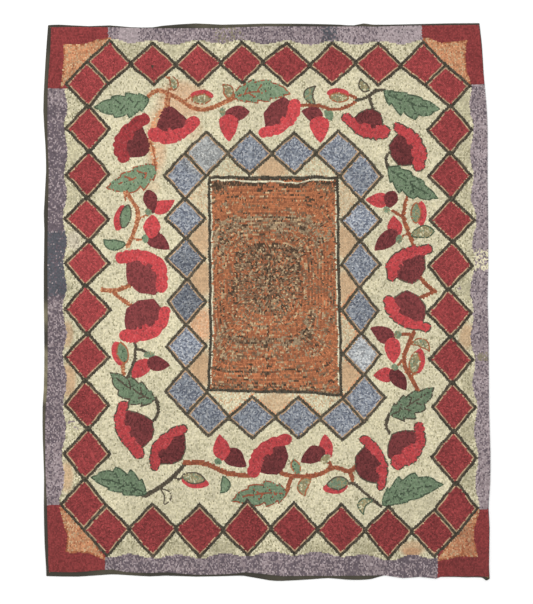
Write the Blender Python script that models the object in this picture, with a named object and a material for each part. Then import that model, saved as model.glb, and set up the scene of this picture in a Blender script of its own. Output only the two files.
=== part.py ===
"""A hooked rug lying flat, pile side up, with a cloth tape sewn round its hem.

Metres, +Z up. The origin is under the middle of the rug's bounding box, on the
surface that it lies on. +Y runs along its length, +X across its width.

The rug is one cloth: a woven ground whose wool loops stand up as a thick pile. Its
hem runs out past the pile, and a folded tape wraps the hem: one strip for each side,
mitred at the corners. The edges of an old rug aren't straight, so a short table for
each side says where its edge runs and how much of the tape shows beside the pile.
"""

import math
from collections import namedtuple

import bmesh
import bpy
from mathutils import Vector

MM = 0.001

# Heights and thicknesses, in millimetres
TAPE_THICK = 1.0
HEM_THICK = 1.7
GAP = 0.3
HEM_BOTTOM = TAPE_THICK + GAP
HEM_TOP = HEM_BOTTOM + HEM_THICK
TAPE_TOP = HEM_TOP + GAP + TAPE_THICK
PILE_UNDERSIDE = TAPE_TOP + GAP
PILE_TOP = 9.6
PILE_SWELL = 0.5

# Widths across an edge, in millimetres
TAPE_BACK = 24.0
TAPE_FRONT_LEAST = 3.0
TAPE_UNDER_PILE = 2.0
FOLD_ROUNDING = 0.4
MITRE_CUT = 0.25
RIM_SHOULDER = 1.6
RIM_ROUNDING = 6.0

# Waves of the pile's top, in millimetres
SWELL_WAVE_ACROSS = 610.0
SWELL_WAVE_ALONG = 830.0

# Shares of the way from the middle to the rim at which the pile's top has a ring
TOP_RINGS = (0.97, 0.9, 0.78, 0.62, 0.44, 0.25, 0.08)

CORNER_STEPS = 12

# One row where an edge changes. along: millimetres from the rug's middle, along that
# side. edge: from the rug's middle out to the tape's fold. tape: how much tape shows
# beside the pile, and below nought where the pile hangs out over the fold.
Station = namedtuple("Station", "along edge tape")

LEFT_EDGE = [
    Station(-1096, 880, 11),
    Station(-1062, 881, 10),
    Station(-964, 887, 14),
    Station(-812, 890, 13),
    Station(-696, 889, 7),
    Station(-552, 894, 10),
    Station(-424, 895, 13),
    Station(-344, 890, 14),
    Station(-192, 888, 14),
    Station(0, 890, 16),
    Station(136, 890, 15),
    Station(288, 888, 14),
    Station(356, 890, 17),
    Station(524, 881, 11),
    Station(632, 884, 10),
    Station(764, 892, 17),
    Station(898, 887, 15),
    Station(1016, 880, 17),
    Station(1108, 873, 12),
]
RIGHT_EDGE = [
    Station(-1104, 894, 2),
    Station(-1048, 892, 1),
    Station(-900, 894, 2),
    Station(-820, 890, 1.5),
    Station(-732, 894, -1.5),
    Station(-600, 895, -1.5),
    Station(-428, 890, -1.5),
    Station(-276, 889, -1.5),
    Station(-84, 887, -1.5),
    Station(10, 884, -1.5),
    Station(144, 887, -1.5),
    Station(328, 886, -1.5),
    Station(504, 884, -1.5),
    Station(700, 884, -1.5),
    Station(808, 878, -1.5),
    Station(920, 870, 1.5),
    Station(1030, 863, 2.5),
    Station(1116, 853, 3),
]
TOP_EDGE = [
    Station(-873, 1108, 10),
    Station(-830, 1110, 10),
    Station(-710, 1104, 4),
    Station(-626, 1107, 8),
    Station(-546, 1100, 3),
    Station(-456, 1099, 4),
    Station(-420, 1105, 10),
    Station(-284, 1115, 20),
    Station(-178, 1110, 14),
    Station(-14, 1114, 12),
    Station(178, 1113, 11),
    Station(292, 1110, 8),
    Station(350, 1107, 5),
    Station(390, 1115, 12),
    Station(426, 1110, 9),
    Station(546, 1111, 6),
    Station(726, 1115, 8),
    Station(853, 1116, 7),
]
BOTTOM_EDGE = [
    Station(-880, 1097, 18),
    Station(-752, 1099, 18),
    Station(-622, 1090, 21),
    Station(-570, 1092, 13),
    Station(-466, 1098, 14),
    Station(-400, 1095, 14),
    Station(-282, 1099, 8),
    Station(-130, 1096, 9),
    Station(-88, 1096, 15),
    Station(14, 1114, 23),
    Station(66, 1116, 20),
    Station(190, 1109, 14),
    Station(250, 1105, 9),
    Station(320, 1111, 16),
    Station(374, 1112, 17),
    Station(424, 1108, 14),
    Station(478, 1093, -1),
    Station(548, 1103, -1.5),
    Station(614, 1098, -1.5),
    Station(680, 1105, -1.5),
    Station(700, 1100, 1),
    Station(806, 1102, 4),
    Station(866, 1103, 5),
    Station(880, 1115, 16),
    Station(895, 1107, 10),
]

# across: the side runs along X. sign: which way out of the rug it faces.
Side = namedtuple("Side", "name table across sign")
BOTTOM = Side("bottom", BOTTOM_EDGE, True, -1)
RIGHT = Side("right", RIGHT_EDGE, False, 1)
TOP = Side("top", TOP_EDGE, True, 1)
LEFT = Side("left", LEFT_EDGE, False, -1)
SIDES = (BOTTOM, RIGHT, TOP, LEFT)  # in order round the rug, seen from above


def read(table, column, along):
    """The named column at a place along a side: a smooth curve through its rows."""
    along = min(max(along, table[0].along), table[-1].along)
    after = next(i for i, row in enumerate(table) if row.along >= along)
    after = max(after, 1)
    here, there = table[after - 1], table[after]
    before, beyond = table[max(after - 2, 0)], table[min(after + 1, len(table) - 1)]
    span = there.along - here.along
    share = (along - here.along) / span
    start, end = getattr(here, column), getattr(there, column)
    slope_in = (end - getattr(before, column)) / (there.along - before.along) * span
    slope_out = (getattr(beyond, column) - start) / (beyond.along - here.along) * span
    square, cube = share**2, share**3
    return (
        (2 * cube - 3 * square + 1) * start
        + (cube - 2 * square + share) * slope_in
        + (3 * square - 2 * cube) * end
        + (cube - square) * slope_out
    )


def at_inset(distance):
    """A line at the same distance inside the tape's fold on every side."""
    return lambda side, along: distance


def pile_rim(further_in):
    """A line that follows the rim of the pile, some way inside it."""
    return lambda side, along: read(side.table, "tape", along) + further_in


def tape_front(side, along):
    """How far in from the fold the tape's front leg ends, tucked under the loops."""
    shown = read(side.table, "tape", along)
    return max(shown + TAPE_UNDER_PILE, TAPE_FRONT_LEAST)


def past_tape_front(side, along):
    return tape_front(side, along) + GAP


def out_of_middle(side, along, inset):
    return side.sign * (read(side.table, "edge", along) - inset(side, along))


def corner(side_a, side_b, inset):
    """Where the lines inside two neighbouring sides cross."""
    across, upright = (side_a, side_b) if side_a.across else (side_b, side_a)
    x, y = upright.sign * upright.table[0].edge, across.sign * across.table[0].edge
    for _ in range(CORNER_STEPS):
        x = out_of_middle(upright, y, inset)
        y = out_of_middle(across, x, inset)
    return x, y


def shares_along(side):
    """Where a side has points: at each row of its table and halfway between rows."""
    places = [row.along for row in side.table]
    span = places[-1] - places[0]
    shares = [(place - places[0]) / span for place in places]
    between = [(a + b) / 2 for a, b in zip(shares, shares[1:])]
    shares = sorted(shares + between)
    return shares if side in (BOTTOM, RIGHT) else [1 - share for share in reversed(shares)]


def side_line(side, inset, cut=0.0):
    """Points along one side from corner to corner, cut back by a little at each end."""
    order = SIDES.index(side)
    first = corner(SIDES[order - 1], side, inset)
    last = corner(side, SIDES[(order + 1) % len(SIDES)], inset)
    axis = 0 if side.across else 1
    towards = math.copysign(1, last[axis] - first[axis])
    start, end = first[axis] + cut * towards, last[axis] - cut * towards
    line = []
    for share in shares_along(side):
        along = start + (end - start) * share
        out = out_of_middle(side, along, inset)
        line.append((along, out) if side.across else (out, along))
    return line


def ring(inset):
    """A closed line round the whole rug."""
    return [point for side in SIDES for point in side_line(side, inset)[:-1]]


def swell(x, y):
    """How far the pile's top stands above or below its mean height."""
    across = math.sin(math.tau * x / SWELL_WAVE_ACROSS)
    along = math.cos(math.tau * y / SWELL_WAVE_ALONG)
    return PILE_SWELL * across * along


def box_middle():
    """The middle of the outermost line's box, which becomes the origin."""
    widest = ring(lambda side, along: min(0.0, read(side.table, "tape", along)))
    xs, ys = [x for x, _ in widest], [y for _, y in widest]
    return (min(xs) + max(xs)) / 2, (min(ys) + max(ys)) / 2


MIDDLE = box_middle()


def place(point, height):
    x, y = point
    return Vector((x - MIDDLE[0], y - MIDDLE[1], height)) * MM


def cloth_material(name, colour, roughness):
    material = bpy.data.materials.new(name)
    material.use_nodes = True
    shader = material.node_tree.nodes["Principled BSDF"]
    shader.inputs["Base Color"].default_value = (*colour, 1.0)
    shader.inputs["Roughness"].default_value = roughness
    shader.inputs["Metallic"].default_value = 0.0
    return material


def finish_object(name, form, material):
    bmesh.ops.recalc_face_normals(form, faces=form.faces)
    mesh = bpy.data.meshes.new(name)
    form.to_mesh(mesh)
    form.free()
    mesh.materials.append(material)
    made = bpy.data.objects.new(name, mesh)
    bpy.context.scene.collection.objects.link(made)
    return made


def skin(form, rows, closed):
    """Quads between each row of vertices and the next."""
    count = len(rows[0])
    for lower, upper in zip(rows, rows[1:]):
        for i in range(count if closed else count - 1):
            j = (i + 1) % count
            form.faces.new((lower[i], lower[j], upper[j], upper[i]))


def hooked_rug(material):
    """Ground, hem and pile as one cloth: rings from its underside out to the hem, back
    under the pile's overhanging rim, over the rounded rim and in to the middle."""
    form = bmesh.new()
    sections = [
        (at_inset(TAPE_BACK + GAP), 0.0),
        (at_inset(TAPE_BACK + GAP), HEM_BOTTOM),
        (at_inset(TAPE_THICK + GAP), HEM_BOTTOM),
        (at_inset(TAPE_THICK + GAP), HEM_TOP),
        (past_tape_front, HEM_TOP),
        (past_tape_front, PILE_UNDERSIDE),
        (pile_rim(0.0), PILE_UNDERSIDE + RIM_SHOULDER / 2),
        (pile_rim(RIM_SHOULDER), PILE_TOP - RIM_SHOULDER),
        (pile_rim(RIM_ROUNDING), PILE_TOP),
    ]
    rows = [
        [form.verts.new(place(point, height)) for point in ring(inset)]
        for inset, height in sections
    ]
    rim = ring(pile_rim(RIM_ROUNDING))
    for share in TOP_RINGS:
        points = [(x * share, y * share) for x, y in rim]
        level = share == TOP_RINGS[-1]
        rows.append(
            [
                form.verts.new(place((x, y), PILE_TOP + (0 if level else swell(x, y))))
                for x, y in points
            ]
        )
    skin(form, rows, closed=True)
    form.faces.new(reversed(rows[0]))
    form.faces.new(rows[-1])
    return finish_object("hooked_rug", form, material)


def binding(side, material):
    """One strip of tape, folded round the hem: its outer and inner faces are lines
    carried along the side from the back leg's end, round the fold, to the front leg's."""
    fold, lining = FOLD_ROUNDING, TAPE_THICK
    outer = [
        (at_inset(TAPE_BACK), 0.0),
        (at_inset(fold), 0.0),
        (at_inset(0.0), fold),
        (at_inset(0.0), TAPE_TOP - fold),
        (at_inset(fold), TAPE_TOP),
        (tape_front, TAPE_TOP),
    ]
    inner = [
        (at_inset(TAPE_BACK), lining),
        (at_inset(lining + GAP / 2), lining),
        (at_inset(lining), lining + GAP / 2),
        (at_inset(lining), TAPE_TOP - lining - GAP / 2),
        (at_inset(lining + GAP / 2), TAPE_TOP - lining),
        (tape_front, TAPE_TOP - lining),
    ]
    form = bmesh.new()

    def rows_of(lines):
        return [
            [form.verts.new(place(point, height)) for point in side_line(side, inset, MITRE_CUT)]
            for inset, height in lines
        ]

    outside, inside = rows_of(outer), rows_of(inner)
    skin(form, outside, closed=False)
    skin(form, inside, closed=False)
    for leg_end in (0, -1):
        skin(form, [outside[leg_end], inside[leg_end]], closed=False)
    for strip_end in (0, -1):
        skin(
            form,
            [[row[strip_end] for row in outside], [row[strip_end] for row in inside]],
            closed=False,
        )
    return finish_object(f"binding_{side.name}", form, material)


def main():
    for old in list(bpy.data.objects):
        bpy.data.objects.remove(old)
    wool = cloth_material("wool_pile", (0.47, 0.33, 0.27), 0.95)
    tape = cloth_material("binding_tape", (0.09, 0.09, 0.07), 0.9)
    hooked_rug(wool)
    for side in SIDES:
        binding(side, tape)


main()
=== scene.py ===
"""A hand-hooked wool rug, lying flat: its finish, loop by loop.

Lengths in the design are millimetres from the rug's middle, +X to the right and +Y up
the rug. Meshes are in metres, in the frame that is loaded below.

The pile is a mosaic of hooked loops. Loops are laid along the design's own lines first,
as a maker hooks the outlines, and the rest is filled in rows. The spaces between them
become valleys, and each loop a low dome in one colour of wool.
"""

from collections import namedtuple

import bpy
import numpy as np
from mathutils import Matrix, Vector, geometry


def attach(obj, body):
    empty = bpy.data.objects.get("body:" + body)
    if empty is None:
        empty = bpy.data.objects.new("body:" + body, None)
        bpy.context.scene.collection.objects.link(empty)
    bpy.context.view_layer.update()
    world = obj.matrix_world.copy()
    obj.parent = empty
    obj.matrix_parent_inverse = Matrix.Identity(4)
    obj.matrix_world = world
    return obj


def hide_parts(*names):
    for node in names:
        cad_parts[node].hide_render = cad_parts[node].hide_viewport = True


bl_info = {
    "name": "Hooked Rug",
    "version": (1, 0, 0),
    "blender": (4, 5, 0),
    "location": "3D View > Sidebar > Rug",
    "description": "Hooks the pile of a flat wool rug, its ground cloth and its binding",
    "category": "Object",
}

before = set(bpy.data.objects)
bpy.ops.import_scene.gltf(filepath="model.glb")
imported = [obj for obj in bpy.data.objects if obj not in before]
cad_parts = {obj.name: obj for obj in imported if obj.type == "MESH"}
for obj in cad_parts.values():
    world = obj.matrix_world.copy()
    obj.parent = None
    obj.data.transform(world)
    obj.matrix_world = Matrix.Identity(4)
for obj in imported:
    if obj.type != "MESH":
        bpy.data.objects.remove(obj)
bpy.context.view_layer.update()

MM = 0.001

# Levels of the CAD rug and its tape, in millimetres above the floor
RIM_LEVEL = 5.4
FOLD_LEVEL = 0.4
TAPE_TOP_LEVEL = 4.3
PILE_RIM_LEVEL = TAPE_TOP_LEVEL + 0.1
PILE_LEVEL = 9.6
FLOOR_LEVEL = -1

# The folded tape, in millimetres: its back leg, and the radius and end of its fold
TAPE_BACK_LEG = 24.0
FOLD_RADIUS = 1.6
FOLD_END = FOLD_RADIUS + 1

# The ground cloth, in millimetres: its edge inside the fold, and its lift at the hem
CLOTH_WITHIN_FOLD = 1.3
CLOTH_THICKNESS = 1.7
HEM_LIFT = 1.3

# How close two loops may lie, as a share of the loop pitch
LOOP_GAP = 0.78

# Painted light on the pile: how much lighter a loop's colour is painted on its top, as a
# highlight, and how much darker in the valleys round it, as shade
TOP_PAINTED_HIGHLIGHT = 1.06
VALLEY_PAINTED_SHADE = 0.84
RAG_VALLEY_PAINTED_SHADE = 0.72

# The light and the camera
SKY_STRENGTH = 0.62
SOFTBOX_POWER = 265.0
SOFTBOX_SIDE = 4.0
SOFTBOX_PLACE = (-1.3, 1.3, 6.5)
CAMERA_LENS = 85.0
CAMERA_X = 0.0004


def linear(hex_colour):
    """An sRGB hex colour as the linear values that nodes take."""
    parts = np.array([int(hex_colour[i : i + 2], 16) / 255 for i in (1, 3, 5)])
    return tuple(np.where(parts <= 0.04045, parts / 12.92, ((parts + 0.055) / 1.055) ** 2.4))


def length(name, description, default):
    return bpy.props.FloatProperty(
        name=name, description=description, default=default, unit="LENGTH", precision=4
    )


def dye(name, description, hex_colour):
    return bpy.props.FloatVectorProperty(
        name=name, description=description, default=linear(hex_colour), subtype="COLOR", size=3
    )


class RugSizes(bpy.types.PropertyGroup):
    """The rug's sizes that a maker would choose."""

    row_pitch: length("Row pitch", "From one hooked row to the next", 0.0055)
    loop_pitch: length("Loop pitch", "From one loop to the next along a row", 0.0053)
    centre_row_pitch: length("Centre row pitch", "Rows of the rag strips", 0.0064)
    pile_depth: length("Pile depth", "How deep the valleys are between two loops", 0.0034)
    outline_width: length("Outline width", "The dark lines round the squares", 0.0112)
    thread_width: length("Light line width", "The pale line inside each dark one", 0.0046)
    tape_thickness: length("Tape thickness", "The folded binding tape", 0.001)
    floor_side: length("Floor side", "The square floor under the rug", 12.0)
    camera_height: length("Camera height", "Of the camera over the rug", 5.71)


class RugDyes(bpy.types.PropertyGroup):
    """The colours of the wool, the tape and the ground cloth."""

    red: dye("Red", "Squares of the outer ring, and corner pieces", "#a74748")
    red_deep: dye("Deep red", "Second red of the squares", "#93403f")
    corner_red: dye("Corner red", "The two arms at each corner", "#923e3e")
    petal: dye("Petal", "Scalloped lips of the flowers", "#cd4e51")
    petal_light: dye("Light petal", "Light loops of the lips", "#d05e60")
    throat: dye("Throat", "Maroon cups of the flowers", "#7f3c3d")
    throat_deep: dye("Deep throat", "Darkest maroon", "#673031")
    cream: dye("Cream", "The ground round the flowers", "#e2dabc")
    sage: dye("Sage", "Grey-green loops of the ground", "#cbc4a4")
    speck: dye("Speck", "Dark loops of the ground", "#a49d7e")
    mauve: dye("Mauve", "The border", "#9c8d90")
    mauve_dark: dye("Dark mauve", "Dark loops of the border", "#71656c")
    mauve_pale: dye("Pale mauve", "Light loops of the border", "#b5a7a9")
    slate: dye("Slate", "Blue-grey stretches of the border", "#606168")
    khaki: dye("Khaki", "Brownish stretches of the border", "#948a77")
    blue: dye("Blue", "Squares of the inner ring", "#949aa3")
    blue_dark: dye("Dark blue", "Dark loops of the squares", "#6e7380")
    blue_pale: dye("Pale blue", "Light loops of the squares", "#b2b5b9")
    outline: dye("Outline", "Dark lines round the squares", "#4a4438")
    thread: dye("Light line", "The pale line inside the dark ones", "#bd9f80")
    peach: dye("Peach", "Corner pieces and small triangles", "#cc946d")
    peach_pale: dye("Pale peach", "Light loops of the peach", "#d0b08b")
    haze: dye("Haze", "Peach loops round the first flowers", "#e0a67c")
    leaf: dye("Leaf", "Green of the leaves", "#7b9072")
    leaf_dark: dye("Dark leaf", "Dark loops of the leaves", "#50604b")
    leaf_light: dye("Light leaf", "Light loops of the leaves", "#84947a")
    olive: dye("Olive", "Yellow-green buds and curls", "#9e9470")
    stem: dye("Stem", "Orange stems", "#ad6a48")
    stem_rust: dye("Rust stem", "Rust-red stems", "#9b583f")
    stem_dark: dye("Dark stem", "Grey-brown stems", "#5f5647")
    rust: dye("Rust", "Rag strips of the middle field", "#c47e56")
    rust_deep: dye("Deep rust", "Darker rust strips", "#a66848")
    brown: dye("Brown", "Brown strips of the middle field", "#8a6b52")
    taupe: dye("Taupe", "Grey-brown strips of the middle field", "#aa9375")
    straw: dye("Straw", "Cream strips of the middle field", "#c6a982")
    bark: dye("Bark", "Darkest strips of the middle field", "#554434")
    tape: dye("Tape", "Binding tape", "#373530")
    tape_worn: dye("Worn tape", "Binding tape where it has faded", "#8d856b")
    burlap: dye("Burlap", "The woven ground", "#a58b63")
    floor: dye("Floor", "The floor under the rug", "#ffffff")


# The design. One row where two squares of a ring meet, and the square after it.
# along and across: where they meet. outer and inner: how far that square's points
# reach, across the side. tone: how much lighter that square is coloured, in hundredths.
Link = namedtuple("Link", "along across outer inner tone")

OUTER_TOP = [
    Link(-716, 959, 1051, 872, 2),
    Link(-542, 953, 1043, 864, 0),
    Link(-363, 948, 1043, 862, -1),
    Link(-182, 953, 1044, 869, -2),
    Link(-12, 960, 1042, 860, -7),
    Link(173, 947, 1041, 865, -5),
    Link(358, 956, 1042, 861, 0),
    Link(537, 945, 1046, 867, 1),
    Link(714, 947, 0, 0, 0),
]
OUTER_LEFT = [
    Link(959, -716, -805, -625, 2),
    Link(784, -713, -807, -622, 2),
    Link(602, -708, -807, -622, -3),
    Link(416, -718, -811, -624, 5),
    Link(246, -711, -809, -626, 8),
    Link(64, -723, -811, -619, 8),
    Link(-126, -716, -812, -624, -2),
    Link(-315, -726, -810, -626, -8),
    Link(-507, -713, -815, -622, -4),
    Link(-710, -727, -826, -638, -10),
    Link(-909, -728, 0, 0, 0),
]
OUTER_BOTTOM = [
    Link(-728, -909, -1019, -809, -11),
    Link(-548, -909, -1024, -803, -13),
    Link(-362, -909, -1024, -805, -13),
    Link(-172, -914, -1015, -790, -17),
    Link(17, -906, -1010, -796, -15),
    Link(204, -911, -1015, -803, -11),
    Link(394, -911, -1031, -813, -13),
    Link(580, -918, -1022, -831, -13),
    Link(758, -925, 0, 0, 0),
]
OUTER_RIGHT = [
    Link(947, 714, 818, 640, 0),
    Link(782, 735, 828, 640, -4),
    Link(595, 735, 825, 644, -7),
    Link(413, 740, 838, 648, -3),
    Link(241, 744, 831, 644, -2),
    Link(49, 728, 825, 640, -2),
    Link(-137, 738, 832, 648, -6),
    Link(-324, 742, 841, 660, -7),
    Link(-517, 749, 844, 658, -9),
    Link(-725, 758, 850, 674, -11),
    Link(-925, 758, 0, 0, 0),
]
INNER_TOP = [
    Link(-326, 594, 688, 496, 6),
    Link(-156, 594, 690, 505, -4),
    Link(21, 594, 682, 505, 0),
    Link(200, 594, 693, 494, 0),
    Link(375, 598, 0, 0, 0),
]
INNER_LEFT = [
    Link(594, -326, -415, -240, 2),
    Link(416, -325, -411, -240, 0),
    Link(253, -322, -411, -239, -20),
    Link(90, -320, -400, -236, -24),
    Link(-91, -322, -406, -236, 8),
    Link(-265, -321, -411, -232, -8),
    Link(-448, -316, 0, 0, 0),
]
INNER_BOTTOM = [
    Link(-316, -448, -542, -358, -10),
    Link(-148, -462, -550, -372, -8),
    Link(38, -462, -551, -374, -6),
    Link(215, -466, -559, -380, 0),
    Link(391, -477, 0, 0, 0),
]
INNER_RIGHT = [
    Link(598, 375, 468, 291, -3),
    Link(410, 380, 465, 293, 15),
    Link(244, 373, 462, 296, 0),
    Link(60, 373, 454, 296, -8),
    Link(-126, 376, 464, 298, 26),
    Link(-292, 391, 481, 302, 2),
    Link(-477, 391, 0, 0, 0),
]

# A ring of squares. field: their wool. swell: how much larger than its four points a
# square is drawn. dark: how much lighter its outline is.
Ring = namedtuple("Ring", "top left bottom right field swell dark")
RED_RING = Ring(OUTER_TOP, OUTER_LEFT, OUTER_BOTTOM, OUTER_RIGHT, "red square", 1.052, 0)
BLUE_RING = Ring(INNER_TOP, INNER_LEFT, INNER_BOTTOM, INNER_RIGHT, "blue square", 1.036, 0.16)
POINT_BEYOND_LINE = 9.0  # a mitred outline's point stands this far beyond its middle line

# Corners of plain shapes: the middle field's frame, and each corner's peach piece,
# whose last corner lies under the squares.
Corner = namedtuple("Corner", "x y")

MIDDLE_FIELD = [
    Corner(-230, 501),
    Corner(284, 497),
    Corner(300, -373),
    Corner(104, -360),
    Corner(-6, -358),
    Corner(-231, -353),
    Corner(-224, -172),
]
PEACH_TOP_LEFT = [
    Corner(-812, 1030),
    Corner(-723, 1034),
    Corner(-681, 1050),
    Corner(-622, 1057),
    Corner(-712, 955),
    Corner(-822, 857),
    Corner(-808, 968),
]
PEACH_TOP_RIGHT = [
    Corner(622, 1056),
    Corner(662, 1051),
    Corner(700, 1036),
    Corner(764, 1041),
    Corner(807, 1047),
    Corner(793, 990),
    Corner(800, 924),
    Corner(817, 869),
    Corner(710, 943),
]
PEACH_BOTTOM_LEFT = [
    Corner(-830, -816),
    Corner(-803, -907),
    Corner(-793, -937),
    Corner(-804, -997),
    Corner(-783, -1004),
    Corner(-716, -1002),
    Corner(-645, -1030),
    Corner(-724, -905),
]
PEACH_BOTTOM_RIGHT = [
    Corner(852, -829),
    Corner(830, -914),
    Corner(830, -950),
    Corner(846, -1022),
    Corner(797, -1018),
    Corner(764, -1018),
    Corner(682, -1037),
    Corner(754, -921),
]

# Where the arms of each red corner end: along the top or bottom, and along a side.
RedArm = namedtuple("RedArm", "sign_x sign_y end_x end_y peach")
RED_ARMS = [
    RedArm(-1, 1, -632, 856, PEACH_TOP_LEFT),
    RedArm(1, 1, 622, 871, PEACH_TOP_RIGHT),
    RedArm(-1, -1, -645, -813, PEACH_BOTTOM_LEFT),
    RedArm(1, -1, 684, -828, PEACH_BOTTOM_RIGHT),
]

# How far the mauve border dips towards the middle between two squares' points
Scallop = namedtuple("Scallop", "ring_side dip lift")
SCALLOPS = {
    "top": Scallop(OUTER_TOP, 14, 3),
    "left": Scallop(OUTER_LEFT, 15, -3),
    "bottom": Scallop(OUTER_BOTTOM, 17, -3),
    "right": Scallop(OUTER_RIGHT, 15, 3),
}

# Stretches of the border whose wool is another colour
Stretch = namedtuple("Stretch", "side start end dye share")
STRETCHES = [
    Stretch("top", -586, -506, "mauve_pale", 0.95),
    Stretch("top", -210, -90, "khaki", 0.35),
    Stretch("top", 222, 282, "slate", 0.6),
    Stretch("top", 290, 350, "mauve_pale", 0.35),
    Stretch("top", 440, 630, "mauve_pale", 0.7),
    Stretch("left", 288, 790, "mauve_dark", 0.56),
    Stretch("left", 0, 310, "mauve_dark", 0.7),
    Stretch("left", 24, 280, "slate", 0.8),
    Stretch("left", -560, -30, "mauve_dark", 0.31),
    Stretch("left", -830, -560, "mauve_pale", 0.05),
    Stretch("right", 130, 780, "mauve_pale", 0.22),
    Stretch("right", 130, 205, "cream", 0.54),
    Stretch("right", -60, 120, "mauve_pale", 0.3),
    Stretch("right", -236, -206, "khaki", 0.8),
    Stretch("right", -820, -300, "mauve_pale", 0.2),
    Stretch("bottom", -640, -330, "mauve_dark", 0.32),
    Stretch("bottom", -320, -90, "mauve_dark", 0.24),
    Stretch("bottom", -80, -20, "mauve_dark", 0.45),
    Stretch("bottom", 10, 300, "mauve_dark", 0.28),
    Stretch("bottom", 310, 370, "mauve_dark", 0.6),
    Stretch("bottom", 480, 690, "mauve_dark", 0.5),
]

# Soft patches where another wool is worked in among the ground's
Patch = namedtuple("Patch", "x y half_x half_y dye share")
PATCHES = [
    Patch(-796, -130, 26, 60, "peach_pale", 0.8),
    Patch(-792, -315, 34, 80, "peach_pale", 0.9),
    Patch(-800, -700, 30, 70, "peach_pale", 0.8),
    Patch(-808, 65, 30, 45, "sage", 0.6),
    Patch(-772, 245, 34, 44, "mauve_pale", 0.3),
    Patch(-790, 415, 40, 60, "sage", 0.5),
    Patch(-780, 600, 40, 50, "sage", 0.7),
    Patch(800, -137, 34, 60, "peach_pale", 0.8),
    Patch(806, 49, 30, 50, "sage", 0.6),
    Patch(810, -324, 34, 60, "speck", 0.5),
    Patch(806, -517, 34, 60, "speck", 0.5),
    Patch(806, -700, 40, 60, "speck", 0.45),
    Patch(796, 782, 34, 60, "sage", 0.6),
    Patch(796, 595, 34, 60, "speck", 0.35),
    Patch(796, 413, 34, 60, "speck", 0.3),
    Patch(584, -985, 60, 34, "peach_pale", 0.8),
    Patch(580, -1000, 40, 20, "peach", 0.5),
    Patch(-548, -985, 60, 34, "speck", 0.35),
    Patch(-362, -985, 60, 34, "speck", 0.45),
    Patch(-172, -985, 60, 34, "speck", 0.5),
    Patch(204, -985, 60, 34, "speck", 0.4),
    Patch(394, -985, 60, 34, "speck", 0.55),
    Patch(-542, 1010, 60, 30, "speck", 0.35),
    Patch(-363, 1010, 60, 30, "sage", 0.6),
    Patch(173, 1010, 60, 30, "sage", 0.5),
    Patch(-156, 540, 70, 46, "sage", 0.3),
    Patch(21, 540, 80, 60, "peach_pale", 0.9),
    Patch(200, 540, 70, 46, "sage", 0.15),
    Patch(-264, 416, 50, 80, "peach_pale", 0.25),
    Patch(-262, 253, 56, 84, "peach_pale", 0.9),
    Patch(-262, 90, 56, 84, "peach_pale", 1.0),
    Patch(-262, -91, 56, 84, "haze", 0.62),
    Patch(-262, -265, 56, 84, "peach_pale", 1.0),
    Patch(320, 410, 56, 84, "peach_pale", 0.4),
    Patch(320, 244, 56, 84, "peach_pale", 0.9),
    Patch(320, 60, 56, 84, "peach_pale", 0.9),
    Patch(330, -126, 56, 84, "peach_pale", 0.3),
    Patch(340, -292, 56, 84, "peach_pale", 0.95),
    Patch(38, -410, 80, 60, "peach_pale", 0.7),
    Patch(-290, 690, 40, 50, "haze", 0.2),
    Patch(806, -960, 70, 90, "stem_rust", 0.35),
    Patch(-336, 808, 110, 84, "haze", 0.5),
    Patch(-440, 640, 46, 150, "haze", 0.42),
    Patch(-460, 460, 40, 26, "peach_pale", 0.35),
    Patch(-300, -330, 30, 40, "sage", 0.35),
    Patch(-600, -700, 120, 70, "sage", 0.3),
    Patch(-440, -840, 180, 50, "sage", 0.3),
    Patch(600, -800, 120, 60, "sage", 0.3),
    Patch(470, -500, 100, 100, "sage", 0.25),
    Patch(0, -560, 200, 40, "sage", 0.35),
    Patch(590, 430, 60, 60, "peach_pale", 0.15),
]

# One row for each open flower, seen from the side. stem: where its cup starts. ear,
# middle and end: the line along which its ruffled lip runs, from the end that curls
# round. lip and fuller: how wide the ruffle is there, and how much more at its end.
# blunt: how wide the cup's foot is. red and maroon: how much lighter its wools are, in
# hundredths. edged: whether a dark line goes round.
Flower = namedtuple(
    "Flower",
    "stem_x stem_y ear_x ear_y middle_x middle_y end_x end_y lip fuller blunt red maroon edged",
)
FLOWERS = [
    Flower(-476, 604, -490, 730, -578, 655, -574, 582, 50, 6, 44, -26, -6, 0),
    Flower(-393, 778, -292, 722, -372, 664, -450, 672, 50, 6, 30, 0, 0, 0),
    Flower(28, 788, -12, 682, 80, 720, 110, 792, 42, 6, 102, 8, 12, 0),
    Flower(-500, 50, -578, 176, -452, 168, -422, 58, 50, -4, 118, 0, 24, 0),
    Flower(-506, -8, -408, -40, -462, -122, -566, -134, 46, 8, 118, 2, 16, 0),
    Flower(-456, -512, -566, -418, -579, -506, -506, -604, 44, 6, 76, -8, 0, 1),
    Flower(-332, -582, -334, -512, -424, -572, -440, -658, 42, -2, 100, -10, -8, 1),
    Flower(66, -654, 78, -554, -20, -598, -46, -680, 46, 4, 84, -12, -6, 0),
    Flower(364, -664, 390, -558, 456, -636, 446, -736, 42, -8, 84, -10, -8, 1),
    Flower(494, -574, 604, -500, 602, -592, 523, -646, 42, 20, 96, -10, 0, 1),
    Flower(610, 102, 646, 204, 534, 178, 500, 106, 42, 10, 84, -4, 6, 1),
    Flower(602, 16, 642, -94, 534, -64, 490, 6, 42, 8, 104, 0, 10, 1),
    Flower(428, 768, 324, 740, 404, 678, 472, 682, 44, 12, 54, -4, -2, 1),
    Flower(506, 586, 527, 696, 607, 630, 611, 545, 46, 8, 84, -4, -8, 1),
]

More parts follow.
